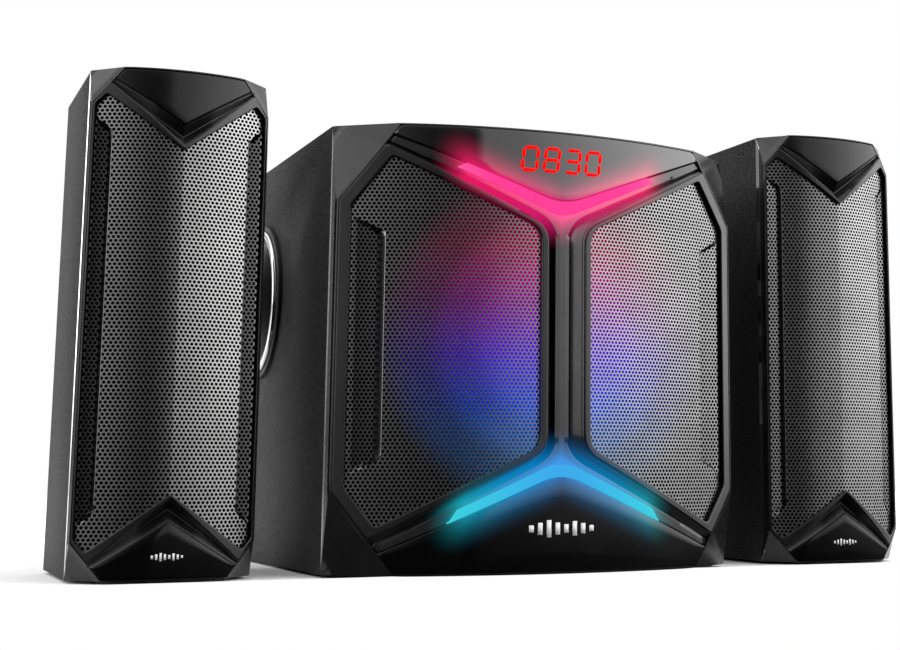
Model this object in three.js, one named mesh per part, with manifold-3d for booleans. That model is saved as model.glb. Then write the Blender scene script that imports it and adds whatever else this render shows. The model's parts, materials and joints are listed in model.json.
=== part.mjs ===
// Desktop speaker set: a ported subwoofer with an illuminated grille, standing between two satellite
// towers. Millimetres, +Z up. X runs across the set from left to right and Y from front to back.
// The origin is on the floor, under the middle of the whole set.

import * as THREE from 'three';
import Module from 'manifold-3d';
import { mergeVertices } from 'three/addons/utils/BufferGeometryUtils.js';
import { ConvexGeometry } from 'three/addons/geometries/ConvexGeometry.js';

const wasm = await Module();
wasm.setup();

// ---- driving dimensions ---------------------------------------------------------------------

const GAP = 0.3; // clearance between neighbouring pieces
const FOOT = 1.5; // height of the cabinets above the floor
const SPACING = 34.1; // free space between the subwoofer and each satellite
const SET_BACK = 13.5; // how far the satellites' cabinets stand behind the subwoofer's front
const CENTRE_Y = 96.65; // middle of the whole set's depth, behind the subwoofer's front edge

// A unit is a box with a bulging front moulding. face: the moulding's arched surface. lip: the more
// pointed surface of the grille surrounds. cutUp, cutAcross: legs of the sloping corner facets.
const SUB = {
  width: 241,
  height: 240,
  depth: 225,
  cutUp: 42.2,
  cutAcross: 30.5,
  face: arch(40, 268),
  lip: ogive(46.5, 0.0592, 0.00193),
  panelThick: 2.7,
  skin: 5.5,
  side: 3,
  steps: 16,
};
const SAT = {
  width: 92.2,
  height: 260.6,
  depth: 93.4,
  cutUp: 18.3,
  cutAcross: 14.9,
  face: arch(21.6, 92.5),
  lip: ogive(24.5, 0.06, 0.00587),
  panelThick: 6,
  skin: 8.4,
  side: 1.4,
  steps: 10,
};
const EDGE_INSET = 0.3; // moulding's side walls lie this far inside the cabinet's sides
const FACE_RIM = 0.5; // moulding left between its inset panels and the sloping corner facets
const OVERRUN = 0.1; // share of a sloping cut's length that it runs past each of its ends
const LIP_SKIN = 2.7; // wall of the grille surrounds
const SHEET = 0.8; // perforated sheet metal
const SHEET_TUCK = 1.8; // how far the sheet reaches behind its surround

// Chevron lines of the subwoofer's front: height on the centre line, and rise per mm sideways.
const TOP = {
  panel: chevron(198.8, 0.377),
  barUpper: chevron(198.2, 0.3755),
  barLower: chevron(191.4, 0.427),
  rib: chevron(187.3, 0.4556),
  lip: chevron(179.5, 0.495),
  barEnd: [54.3, 59.5],
};
const BOTTOM = {
  panel: chevron(53, -0.4305),
  barUpper: chevron(59.8, -0.457),
  barLower: chevron(53.4, -0.4305),
  rib: chevron(63.8, -0.4925),
  lip: chevron(70.2, -0.504),
  barEnd: [57.4, 62],
};
const RIB_HALF = 3.1; // half width of the upright rib
const RIB_FILLET = 17; // where its rounded corners end on the arms
const CHANNEL_HALF = 10.9; // from the centre line to the grille surrounds
const RIB_DROP = 1.2; // rib below the panels' surface
const TRIM_BACK = 12; // back of the centre trim below the panels' surface
const CHANNEL_DEEP = 9; // channel beside the upright rib
const CHANNEL_SHALLOW = 3.2; // channel at the ends of the arms
const BAR_DROP = 0.5;
const BAR_THICK = 3.4;

// Right-hand grille window of the subwoofer: [x, z, corner tangent length].
const SUB_WINDOW = [
  [93.4, 222.2, 2.5],
  [113.4, 194.8, 2.5],
  [113.4, 45.4, 2.5],
  [98.4, 24.6, 2.5],
  [14.6, 66.4, 7],
  [14.6, 184.4, 7],
];
// Pressed recess beside the window's outer edge: outer x, inner x, deepest x, depth, and end slopes.
const SUB_RECESS = {
  outer: 110.5,
  inner: 95.5,
  fold: 98.5,
  depth: 5,
  outerZ: [52.2, 188.8],
  innerZ: [59.8, 180.8],
};
const SAT_RECESS = {
  outer: 43.4,
  inner: 35.3,
  fold: 36.6,
  depth: 4,
  outerZ: [25.5, 235.1],
  innerZ: [32.9, 227.7],
};

// Satellite chevrons, given as distances from the top or bottom edge.
const SAT_PANEL = chevron(28.7, -0.63);
const SAT_VALLEY = chevron(34.8, -0.71);
const SAT_LIP = chevron(41, -0.88);
const SAT_WINDOW_TIP = 42.6;
const SAT_WINDOW_APEX = [38.9, 13.8];
const SAT_WINDOW_SIDE = [44.3, 19.8];
const SAT_VALLEY_DEEP = 4.6;

const PORT_Y = 150; // centre of the bass port on the subwoofer's left side
const PORT_Z = 157.3;
const PORT_RADIUS = 47;
const WOOFER_Z = 122;
const CONTROL_Y = 62; // control panel on the subwoofer's right side
const CONTROL_Z = 150;
const ROCKER_X = 4;
const ROCKER_TILT = THREE.MathUtils.degToRad(7);
const FINS = 9; // ribs of the heat sink

// ---- shapes -----------------------------------------------------------------------------------

function arch(crown, radius) {
  return (x) => crown - (radius - Math.sqrt(radius * radius - x * x));
}

function ogive(crown, slope, bend) {
  return (x) => crown - slope * Math.abs(x) - bend * x * x;
}

function chevron(height, rise) {
  return (x) => height + rise * Math.abs(x);
}

// A solid whose joins and cuts are worked out at once.
class Body {
  constructor(manifold) {
    this.manifold = manifold;
    manifold.numTri();
  }

  add(other) {
    return new Body(this.manifold.add(other.manifold));
  }

  subtract(other) {
    return new Body(this.manifold.subtract(other.manifold));
  }

  intersect(other) {
    return new Body(this.manifold.intersect(other.manifold));
  }
}

// Merges a geometry's equal vertices and drops the triangles that this flattens.
function welded(geometry) {
  geometry.deleteAttribute('normal');
  geometry.deleteAttribute('uv');
  const merged = mergeVertices(geometry, 1e-4);
  const index = Array.from(merged.index.array);
  const faces = [];
  for (let i = 0; i < index.length; i += 3) {
    const [p, q, r] = index.slice(i, i + 3);
    if (p !== q && q !== r && r !== p) faces.push([p, q, r]);
  }
  return { position: merged.attributes.position, faces };
}

function signedVolume(position, faces) {
  const corner = (i) => new THREE.Vector3().fromBufferAttribute(position, i);
  return faces.reduce((sum, [p, q, r]) => sum + corner(p).dot(corner(q).cross(corner(r))) / 6, 0);
}

// Turns a three.js geometry into a solid, with its faces pointing out.
function solid(geometry) {
  const { position, faces } = welded(geometry);
  const inverted = signedVolume(position, faces) < 0;
  const outward = inverted ? faces.map(([p, q, r]) => [p, r, q]) : faces;
  const mesh = new wasm.Mesh({
    numProp: 3,
    vertProperties: new Float32Array(position.array),
    triVerts: new Uint32Array(outward.flat()),
  });
  return new Body(new wasm.Manifold(mesh));
}

// A solid's geometry, with its vertices on a grid of a thousandth of a millimetre.
function geometryOf(body) {
  const mesh = body.manifold.getMesh();
  const onGrid = Float32Array.from(mesh.vertProperties, (value) => Math.round(value * 1000) / 1000);
  const raw = new THREE.BufferGeometry();
  raw.setAttribute('position', new THREE.BufferAttribute(onGrid, 3));
  raw.setIndex(new THREE.BufferAttribute(new Uint32Array(mesh.triVerts), 1));
  const { position, faces } = welded(raw);
  const geometry = new THREE.BufferGeometry();
  geometry.setAttribute('position', position);
  geometry.setIndex(faces.flat());
  geometry.computeVertexNormals();
  return geometry;
}

function block(x0, x1, y0, y1, z0, z1) {
  const box = new THREE.BoxGeometry(x1 - x0, y1 - y0, z1 - z0);
  return solid(box.translate((x0 + x1) / 2, (y0 + y1) / 2, (z0 + z1) / 2));
}

// Cylinder along an axis from a to b, centred at (u, v) in the other two coordinates.
function rod(axis, u, v, a, b, radius, segments = 24, radiusB = radius) {
  const cylinder = new THREE.CylinderGeometry(radiusB, radius, b - a, segments);
  cylinder.translate(0, (a + b) / 2, 0);
  if (axis === 'x') cylinder.rotateZ(-Math.PI / 2).translate(0, u, v);
  if (axis === 'y') cylinder.translate(u, 0, v);
  if (axis === 'z') cylinder.rotateX(Math.PI / 2).translate(u, v, 0);
  return solid(cylinder);
}

// Solid of revolution about a Y-parallel axis through (x, z); profile points are [radius, y].
function turned(profile, x, z, segments) {
  const points = profile.map(([radius, y]) => new THREE.Vector2(radius, y));
  return solid(new THREE.LatheGeometry(points, segments).translate(x, 0, z));
}

// Extrusion of an outline in the XZ plane from y0 back to y1.
function prism(shape, y0, y1, curveSegments = 3) {
  const extruded = new THREE.ExtrudeGeometry(shape, { depth: y1 - y0, bevelEnabled: false, curveSegments });
  return solid(extruded.rotateX(Math.PI / 2).translate(0, y1, 0));
}

// Layer between two front profiles, from z0 to z1; xs are the stations across the width.
function layer(front, back, xs, z0, z1) {
  const near = xs.map((x) => new THREE.Vector2(x, -front(x)));
  const far = xs.map((x) => new THREE.Vector2(x, -back(x))).reverse();
  const shape = new THREE.Shape([...near, ...far]);
  const extruded = new THREE.ExtrudeGeometry(shape, { depth: z1 - z0, bevelEnabled: false });
  return solid(extruded.translate(0, 0, z0));
}

function stations(half, count, extra = []) {
  const even = Array.from({ length: count + 1 }, (_, i) => -half + (2 * half * i) / count);
  const near = (x) => extra.some((e) => Math.abs(Math.abs(x) - e) < 1);
  const both = extra.flatMap((e) => [-e, e]);
  return [...even.filter((x) => !near(x)), ...both].sort((p, q) => p - q);
}

// Moves every edge of an outline outwards by grow; corners are [x, z, tangent length].
function grown(corners, grow) {
  const turn = Math.sign(THREE.ShapeUtils.area(corners.map(([x, z]) => new THREE.Vector2(x, z))));
  const normal = (p, q) => {
    const d = new THREE.Vector2(q[0] - p[0], q[1] - p[1]).normalize();
    return new THREE.Vector2(d.y, -d.x).multiplyScalar(turn);
  };
  return corners.map((corner, i) => {
    const before = normal(corners[(i + corners.length - 1) % corners.length], corner);
    const after = normal(corner, corners[(i + 1) % corners.length]);
    const move = before.clone().add(after).multiplyScalar(grow / (1 + before.dot(after)));
    return [corner[0] + move.x, corner[1] + move.y, corner[2]];
  });
}

// Outline with its corners rounded off by curves that start the tangent length before each corner.
function outline(corners) {
  const shape = new THREE.Shape();
  corners.forEach((corner, i) => {
    const here = new THREE.Vector2(corner[0], corner[1]);
    const towards = (other) => new THREE.Vector2(other[0], other[1]).sub(here).normalize();
    const from = towards(corners[(i + corners.length - 1) % corners.length]);
    const to = towards(corners[(i + 1) % corners.length]);
    const tangent = corner[2] ?? 0;
    const start = here.clone().addScaledVector(from, tangent);
    const end = here.clone().addScaledVector(to, tangent);
    if (i === 0) shape.moveTo(start.x, start.y);
    else shape.lineTo(start.x, start.y);
    if (tangent > 0) shape.quadraticCurveTo(here.x, here.y, end.x, end.y);
  });
  shape.closePath();
  return shape;
}

function mirrored(corners) {
  return corners.map(([x, z, t]) => [-x, z, t]).reverse();
}

// ---- front mouldings --------------------------------------------------------------------------

// Everything outside one sloping corner facet; side and end are +1 or -1, inset moves it inwards.
function beyondFacet(unit, side, end, inset) {
  const half = unit.width / 2;
  const z = (down) => (end > 0 ? unit.height - down : down);
  const corner = new THREE.Vector3(side * half, 0, z(0));
  const lower = new THREE.Vector3(side * (half - EDGE_INSET), -unit.face(half - EDGE_INSET), z(unit.cutUp));
  const inner = new THREE.Vector3(side * (half - unit.cutAcross), -unit.face(half - unit.cutAcross), z(0));
  const normal = lower.clone().sub(corner).cross(inner.clone().sub(corner)).normalize();
  if (normal.x * side < 0) normal.negate();
  const box = new THREE.BoxGeometry(700, 700, 200).translate(0, 0, 100);
  box.applyQuaternion(new THREE.Quaternion().setFromUnitVectors(new THREE.Vector3(0, 0, 1), normal));
  const at = corner.addScaledVector(normal, -inset);
  return solid(box.translate(at.x, at.y, at.z));
}

function cutCorners(body, unit, inset) {
  let cut = body;
  for (const side of [-1, 1]) {
    for (const end of [-1, 1]) cut = cut.subtract(beyondFacet(unit, side, end, inset));
  }
  return cut;
}

// Front of a unit between its sloping corner facets, drawn smaller by inset and open at both ends.
function faceArea(unit, inset) {
  const half = unit.width / 2;
  const inner = half - unit.cutAcross;
  const right = [
    [inner, -20],
    [inner, 0],
    [half, unit.cutUp],
    [half, unit.height - unit.cutUp],
    [inner, unit.height],
    [inner, unit.height + 20],
  ];
  return prism(outline(grown([...right, ...mirrored(right)], -inset)), -80, 0);
}

// Outside of a unit's front moulding; raised lists the outlines whose surface is the lip profile.
function envelope(unit, raised) {
  const xs = stations(unit.width / 2 - EDGE_INSET, unit.steps, [0]);
  let body = layer(unit.face, () => GAP, xs, 0, unit.height);
  for (const corners of raised) {
    const lips = layer(unit.lip, () => GAP, xs, 0, unit.height);
    body = body.add(lips.intersect(prism(outline(corners), -80, -GAP)));
  }
  return cutCorners(body, unit, 0);
}

// Inside of a unit's front moulding; windows are the outlines with thin walls round them.
function hollow(unit, windows) {
  const xs = stations(unit.width / 2 - unit.side, unit.steps, [0]);
  const inside = (x) => Math.max(unit.face(x) - unit.skin, 2);
  const [low, high] = [unit.side, unit.height - unit.side];
  let body = layer(inside, () => -1, xs, low, high);
  const behindLip = layer((x) => unit.lip(x) - LIP_SKIN, () => -1, xs, low, high);
  for (const corners of windows) {
    body = body.add(behindLip.intersect(prism(outline(grown(corners, SHEET_TUCK + 0.6)), -80, 0)));
  }
  return cutCorners(body, unit, unit.side);
}

// Perforated sheet behind a window, with pressed recesses beside its outer edges.
function grille(unit, window, recess, sides) {
  const depthAt = (x) => {
    const across = Math.abs(x);
    if (across >= recess.outer || across <= recess.inner) return 0;
    if (across >= recess.fold) return (recess.depth * (recess.outer - across)) / (recess.outer - recess.fold);
    return (recess.depth * (across - recess.inner)) / (recess.fold - recess.inner);
  };
  const front = (x) => unit.lip(x) - LIP_SKIN - GAP;
  const sunk = (x) => front(x) - depthAt(x);
  const folds = [0, recess.inner, recess.fold, recess.outer];
  const xs = stations(unit.width / 2 - unit.side - GAP, unit.steps, folds);
  const flat = layer(front, (x) => front(x) - SHEET, xs, 0, unit.height);
  const pressed = layer(sunk, (x) => sunk(x) - SHEET, xs, 0, unit.height);
  const between = layer(front, (x) => sunk(x) - SHEET, xs, 0, unit.height);
  let sheet = flat.intersect(prism(outline(grown(window, SHEET_TUCK)), -80, -GAP));
  for (const side of sides) {
    const corners = [
      [side * recess.outer, recess.outerZ[0]],
      [side * recess.outer, recess.outerZ[1]],
      [side * recess.inner, recess.innerZ[1]],
      [side * recess.inner, recess.innerZ[0]],
    ];
    const area = prism(outline(corners), -80, -GAP);
    const rim = area.subtract(prism(outline(grown(corners, -SHEET)), -80, -GAP));
    sheet = sheet.subtract(area).add(pressed.intersect(area)).add(between.intersect(rim));
  }
  return sheet;
}

// Shallow space at a unit's front that its inset panels fill.
function panelPocket(unit) {
  const xs = stations(unit.width / 2, unit.steps, [0]);
  const floor = (x) => unit.face(x) - unit.panelThick - GAP;
  return layer((x) => unit.face(x) + 8, floor, xs, -10, unit.height + 10).intersect(faceArea(unit, FACE_RIM));
}

// A unit's inset panels, before they are cut to their outlines.
function panelShell(unit, outside) {
  const xs = stations(unit.width / 2, unit.steps, [0]);
  const shell = layer(unit.face, (x) => unit.face(x) - unit.panelThick, xs, 0, unit.height);
  return outside.intersect(shell).intersect(faceArea(unit, FACE_RIM + GAP));
}

// Region between two chevrons out to +-reach, for the panels that run to the top or bottom edge.
function panelOutline(line, reach, edge, tangent) {
  return outline([
    [-reach, line(reach)],
    [-reach, edge],
    [reach, edge],
    [reach, line(reach)],
    [0, line(0), tangent],
  ]);
}

// ---- subwoofer front --------------------------------------------------------------------------

const SUB_LEFT_WINDOW = mirrored(SUB_WINDOW);

function subWing(side) {
  const corners = [
    [CHANNEL_HALF, TOP.lip(CHANNEL_HALF), 9],
    [130, TOP.lip(130)],
    [130, BOTTOM.lip(130)],
    [CHANNEL_HALF, BOTTOM.lip(CHANNEL_HALF), 9],
  ];
  return side > 0 ? corners : mirrored(corners);
}

const SUB_OUTSIDE = envelope(SUB, [subWing(1), subWing(-1)]);

// Y-shaped area between the panels and the grille surrounds, drawn smaller by inset.
function yOutline(inset) {
  const corners = [
    [-130, TOP.panel(130)],
    [0, TOP.panel(0), 13],
    [130, TOP.panel(130)],
    [130, TOP.lip(130)],
    [CHANNEL_HALF, TOP.lip(CHANNEL_HALF), 9],
    [CHANNEL_HALF, BOTTOM.lip(CHANNEL_HALF), 9],
    [130, BOTTOM.lip(130)],
    [130, BOTTOM.panel(130)],
    [0, BOTTOM.panel(0), 13],
    [-130, BOTTOM.panel(130)],
    [-130, BOTTOM.lip(130)],
    [-CHANNEL_HALF, BOTTOM.lip(CHANNEL_HALF), 9],
    [-CHANNEL_HALF, TOP.lip(CHANNEL_HALF), 9],
    [-130, TOP.lip(130)],
  ];
  return outline(grown(corners, -inset));
}

function subFrame() {
  const pocket = panelPocket(SUB);
  let frame = SUB_OUTSIDE.subtract(hollow(SUB, [SUB_WINDOW, SUB_LEFT_WINDOW]));
  frame = frame.subtract(pocket.intersect(prism(panelOutline(TOP.panel, 140, 260, 13), -80, 0)));
  frame = frame.subtract(pocket.intersect(prism(panelOutline(BOTTOM.panel, 140, -20, 13), -80, 0)));
  frame = frame.subtract(prism(yOutline(0), -80, -GAP * 2).intersect(faceArea(SUB, FACE_RIM)));
  for (const window of [SUB_WINDOW, SUB_LEFT_WINDOW]) {
    frame = frame.subtract(prism(outline(window), -80, 0));
  }
  return frame;
}

function subPanel(line, edge, inwards) {
  const moved = (x) => line(x) + inwards;
  return panelShell(SUB, SUB_OUTSIDE).intersect(prism(panelOutline(moved, 140, edge, 13), -80, 0));
}

function barOutline(set) {
  const [upperEnd, lowerEnd] = set.barEnd;
  const corners = [
    [-lowerEnd, set.barLower(lowerEnd)],
    [-upperEnd, set.barUpper(upperEnd)],
    [0, set.barUpper(0), 12],
    [upperEnd, set.barUpper(upperEnd)],
    [lowerEnd, set.barLower(lowerEnd)],
    [0, set.barLower(0), 9],
  ];
  return outline(corners);
}

// Opening for a light bar in the trim, which runs out beyond the trim's edge at the panel.
function barOpening(set, end) {
  const [upperEnd, lowerEnd] = set.barEnd;
  const beyond = end > 0 ? upperEnd * 2 - lowerEnd : lowerEnd * 2 - upperEnd;
  const edge = (x) => (end > 0 ? set.barUpper(x) + 6 : set.barLower(x) - 6);
  const [near, nearEnd] = end > 0 ? [set.barLower, lowerEnd] : [set.barUpper, upperEnd];
  const corners = [
    [-nearEnd, near(nearEnd)],
    [-beyond, edge(beyond)],
    [0, edge(0)],
    [beyond, edge(beyond)],
    [nearEnd, near(nearEnd)],
    [0, near(0), 9],
  ];
  return outline(grown(corners, GAP));
}

function lightBar(set) {
  const xs = stations(70, 14, [0]);
  const front = (x) => SUB.face(x) - BAR_DROP;
  const depth = layer(front, (x) => front(x) - BAR_THICK, xs, 0, SUB.height);
  return depth.intersect(prism(barOutline(set), -80, 0));
}

function curvePoints(a, corner, b, count) {
  const [from, via, to] = [a, corner, b].map(([x, z]) => new THREE.Vector2(x, z));
  return new THREE.QuadraticBezierCurve(from, via, to).getPoints(count);
}

// Rounded corner between the rib's middle and its arm, from the middle outwards.
function ribFillet(set, end) {
  const corner = set.rib(RIB_HALF);
  const arm = [RIB_FILLET, set.rib(RIB_FILLET)];
  return curvePoints([RIB_HALF, corner - end * 12], [RIB_HALF, corner], arm, 4);
}

// Stations along one channel: up beside the rib, round the fillet and out along the arm.
function channelStations(set, end, middle) {
  const lipCorner = set.lip(CHANNEL_HALF);
  const rib = [
    new THREE.Vector2(RIB_HALF, middle),
    ...ribFillet(set, end),
    ...[42, 74, 112].map((x) => new THREE.Vector2(x, set.rib(x))),
  ];
  const lip = [
    new THREE.Vector2(CHANNEL_HALF, middle),
    ...curvePoints([CHANNEL_HALF, lipCorner - end * 8], [CHANNEL_HALF, lipCorner], [19, set.lip(19)], 4),
    ...[44, 76, 114].map((x) => new THREE.Vector2(x, set.lip(x))),
  ];
  return rib.map((point, i) => {
    const out = Math.min(Math.max((point.x - RIB_FILLET) / 90, 0), 1);
    return { rib: point, lip: lip[i], deep: THREE.MathUtils.lerp(CHANNEL_DEEP, CHANNEL_SHALLOW, out) };
  });
}

// Space above the sloping floor of one half of a channel.
function channelSpace(set, end, side) {
  const path = channelStations(set, end, 125);
  const pieces = path.slice(1).map((station, i) => {
    const points = [path[i], station].flatMap(({ rib, lip, deep }) => [
      new THREE.Vector3(side * rib.x, -80, rib.y),
      new THREE.Vector3(side * rib.x, deep - SUB.face(rib.x), rib.y),
      new THREE.Vector3(side * lip.x, -80, lip.y),
      new THREE.Vector3(side * lip.x, 1 - SUB.lip(lip.x), lip.y),
    ]);
    return solid(new ConvexGeometry(points));
  });
  return pieces.reduce((space, piece) => space.add(piece));
}

function ribOutline() {
  const half = [TOP, BOTTOM].map((set, k) => {
    const end = k === 0 ? 1 : -1;
    const fillet = ribFillet(set, end).map((point) => [point.x, point.y]);
    return [...fillet, [130, set.rib(130)], [130, set.panel(130) + end * 2]];
  });
  const right = [...half[0].slice().reverse(), ...half[1]];
  const left = right.map(([x, z]) => [-x, z]).reverse();
  const top = [0, TOP.panel(0) + 2];
  const bottom = [0, BOTTOM.panel(0) - 2];
  return new THREE.Shape([top, ...right, bottom, ...left].map(([x, z]) => new THREE.Vector2(x, z)));
}

function centreTrim() {
  const xs = stations(SUB.width / 2 - EDGE_INSET, SUB.steps, [0]);
  const between = (front, back) => layer(front, back, xs, 0, SUB.height);
  const above = (x) => SUB.face(x) + 12;
  const raised = between((x) => SUB.lip(x) - 0.8, (x) => Math.max(SUB.face(x) - TRIM_BACK, 2));
  const aboveRib = between(above, (x) => SUB.face(x) - RIB_DROP);
  const pocket = between(above, (x) => SUB.face(x) - BAR_DROP - BAR_THICK - GAP);
  let trim = raised.intersect(prism(yOutline(GAP), -80, -1)).intersect(faceArea(SUB, FACE_RIM + GAP));
  trim = trim.subtract(aboveRib.intersect(prism(ribOutline(), -80, 0)));
  for (const [set, end] of [[TOP, 1], [BOTTOM, -1]]) {
    for (const side of [-1, 1]) trim = trim.subtract(channelSpace(set, end, side));
    trim = trim.subtract(pocket.intersect(prism(barOpening(set, end), -80, 0)));
  }
  return trim;
}

// ---- satellite front --------------------------------------------------------------------------

// Chevron given from the edges, as heights at the top (end +1) or bottom (end -1).
function satLine(line, end) {
  return (x) => (end > 0 ? SAT.height - line(x) : line(x));
}

function satWindow() {
  const [apexX, apexD] = SAT_WINDOW_APEX;
  const [sideX, sideD] = SAT_WINDOW_SIDE;
  const top = (d) => SAT.height - d;
  return [
    [0, top(SAT_WINDOW_TIP), 0],
    [apexX, top(apexD), 1.5],
    [sideX, top(sideD), 1.5],
    [sideX, sideD, 1.5],
    [apexX, apexD, 1.5],
    [0, SAT_WINDOW_TIP, 0],
    [-apexX, apexD, 1.5],
    [-sideX, sideD, 1.5],
    [-sideX, top(sideD), 1.5],
    [-apexX, top(apexD), 1.5],
  ];
}

function satRaised() {
  const top = (x) => satLine(SAT_LIP, 1)(x) + 1.5;
  const bottom = (x) => satLine(SAT_LIP, -1)(x) - 1.5;
  return [
    [-50, top(50)],
    [0, top(0)],
    [50, top(50)],
    [50, bottom(50)],
    [0, bottom(0)],
    [-50, bottom(50)],
  ];
}

const SAT_OUTSIDE = envelope(SAT, [satRaised()]);

// Space in front of a slope that starts on one chevron and ends on another, each at its own depth.
function slopeAbove(from, to, fromDeep, toDeep) {
  let body = null;
  const xs = stations(SAT.width / 2, SAT.steps, [0]);
  for (let i = 1; i < xs.length; i += 1) {
    const points = [xs[i - 1], xs[i]].flatMap((x) => [-OVERRUN, 1 + OVERRUN].flatMap((share) => {
      const z = THREE.MathUtils.lerp(from(x), to(x), share);
      const deep = THREE.MathUtils.lerp(fromDeep(x), toDeep(x), share);
      return [new THREE.Vector3(x, -80, z), new THREE.Vector3(x, -deep, z)];
    }));
    const piece = solid(new ConvexGeometry(points));
    body = body ? body.add(piece) : piece;
  }
  return body.intersect(faceArea(SAT, FACE_RIM));
}

function satFrame() {
  const valleyDeep = (x) => SAT.face(x) - SAT_VALLEY_DEEP;
  const pocket = panelPocket(SAT);
  let frame = SAT_OUTSIDE.subtract(hollow(SAT, [satWindow()]));
  for (const end of [1, -1]) {
    const valley = satLine(SAT_VALLEY, end);
    const edge = end > 0 ? SAT.height + 20 : -20;
    frame = frame.subtract(pocket.intersect(prism(panelOutline(valley, 60, edge, 0), -80, 0)));
    frame = frame.subtract(slopeAbove(valley, satLine(SAT_LIP, end), valleyDeep, SAT.lip));
  }
  return frame.subtract(prism(outline(satWindow()), -80, 0));
}

function satPanel(end) {
  const valley = (x) => satLine(SAT_VALLEY, end)(x) + end * GAP;
  const edge = end > 0 ? SAT.height + 20 : -20;
  const panel = panelShell(SAT, SAT_OUTSIDE).intersect(prism(panelOutline(valley, 60, edge, 0), -80, 0));
  const beyond = (x) => satLine(SAT_VALLEY, end)(x) - end;
  const beyondDeep = (x) => SAT.face(x) - SAT_VALLEY_DEEP;
  return panel.subtract(slopeAbove(beyond, satLine(SAT_PANEL, end), beyondDeep, SAT.face));
}

// ---- cabinets and loudspeakers ------------------------------------------------------------------

function subCabinet() {
  const { width, depth, height } = SUB;
  const half = width / 2;
  const inside = block(9 - half, half - 9, 12, depth - 9, 9, height - 9);
  let box = block(-half, half, 0, depth, 0, height).subtract(inside);
  box = box.subtract(rod('y', 0, WOOFER_Z, -1, 13, 58.5, 24));
  box = box.subtract(rod('x', PORT_Y, PORT_Z, -half - 1, 10 - half, 36, 32));
  box = box.subtract(block(-62, 62, depth - 10, depth + 1, 36, 196));
  const [y, z] = [CONTROL_Y, CONTROL_Z];
  return box.subtract(block(half - 10, half + 1, y - 18, y + 18, z - 60, z + 60));
}

function satCabinet() {
  const { width, depth, height } = SAT;
  const half = width / 2;
  const inside = block(7 - half, half - 7, 8, depth - 7, 7, height - 7);
  let box = block(-half, half, 0, depth, 0, height).subtract(inside);
  box = box.subtract(rod('y', 0, height / 2, -1, 9, 35.5, 24));
  return box.subtract(block(-13, 13, depth - 8, depth + 1, 42, 68));
}

function woofer() {
  const at = (profile) => turned(profile, 0, WOOFER_Z, 24);
  let basket = at([
    [66, -4], [66, -GAP], [57.6, -GAP], [40, 40], [40, 45], [17.2, 45], [17.2, 43], [37, 43],
    [54.6, 0], [57, -4], [66, -4],
  ]);
  for (let i = 0; i < 4; i += 1) {
    const window = new THREE.BoxGeometry(26, 26, 100).translate(0, 21, 0).rotateY((i * Math.PI) / 4);
    basket = basket.subtract(solid(window.translate(0, 0, WOOFER_Z)));
  }
  return {
    woofer_basket: basket,
    woofer_magnet: at([[0, 46], [12.8, 46], [12.8, 62], [17, 62], [17, 45.3], [41, 45.3], [41, 68], [0, 68]]),
    woofer_surround: at([
      [49, -4.6], [51, -8], [53.5, -9], [56, -8], [58, -4.6], [62, -4.6], [62, -5.4], [58.6, -5.4],
      [56.5, -9], [53.5, -10], [50.5, -9], [48.6, -5.4], [49, -4.6],
    ]),
    woofer_cone: at([
      [0, 23], [9, 25.5], [16.4, 33], [48.2, -4.6], [48.2, -3.4], [16.4, 37.6], [16.4, 40], [15.6, 57],
      [14.4, 57], [14.6, 35], [8, 27.4], [0, 24.6],
    ]),
    sub_light_ring: at([[67.5, -7], [72, -9], [76.5, -7], [76.5, -GAP], [67.5, -GAP], [67.5, -7]]),
  };
}

function satDriver() {
  const z = SAT.height / 2;
  const at = (profile) => turned(profile, 0, z, 20);
  return {
    driver_basket: at([
      [40, -3], [40, -GAP], [34.6, -GAP], [25, 22], [25, 25], [11.2, 25], [11.2, 23.6], [22.6, 23.6],
      [32.4, 0], [35, -3], [40, -3],
    ]),
    driver_magnet: at([[0, 26], [7.8, 26], [7.8, 34], [11, 34], [11, 25.3], [24, 25.3], [24, 38], [0, 38]]),
    driver_cone: at([
      [0, 11], [6, 12.4], [10.6, 17], [27.4, -1.6], [28.8, -4.6], [30.4, -5], [31.6, -4], [31.8, -2.6],
      [30.4, -3.8], [29.6, -3.8], [28, -0.6], [10.6, 20], [10.2, 31.5], [9, 31.5], [9.2, 19], [5.4, 14],
      [0, 12.4],
    ]),
  };
}

// ---- port, controls and rear ---------------------------------------------------------------------

// Solid of revolution about an X-parallel axis through the port's centre; points are [radius, x].
function portTurned(profile) {
  const points = profile.map(([radius, x]) => new THREE.Vector2(radius, x));
  const lathe = new THREE.LatheGeometry(points, 28).rotateZ(-Math.PI / 2);
  return solid(lathe.translate(0, PORT_Y, PORT_Z));
}

function port() {
  const face = -SUB.width / 2;
  return {
    port_flange: portTurned([
      [PORT_RADIUS, face - 2.4], [PORT_RADIUS, face - GAP], [35.4, face - GAP], [35, face + 16],
      [30.6, face + 16], [31.2, face + 9], [32.6, face + 3], [34.4, face - 0.6], [37.5, face - 1.9],
      [41, face - 2.4], [PORT_RADIUS, face - 2.4],
    ]),
    port_ring: portTurned([
      [40.6, face - 2.7], [44.6, face - 2.7], [44.2, face - 4.2], [42.6, face - 5], [41, face - 4.2],
      [40.6, face - 2.7],
    ]),
    port_tube: portTurned([
      [30.6, face + 16.3], [33.4, face + 16.3], [33.4, face + 92], [30.6, face + 92], [30.6, face + 16.3],
    ]),
  };
}

function knobSolid(y, z, radius) {
  const face = SUB.width / 2 + 2;
  const stem = rod('x', y, z, face - 10, face + 2, 3, 16);
  const skirt = rod('x', y, z, face + 0.5, face + 11, radius, 24, radius - 1);
  const mark = block(face + 10, face + 12, y - 0.6, y + 0.6, z + radius * 0.35, z + radius * 0.8);
  return skirt.add(stem).subtract(mark);
}

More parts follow.
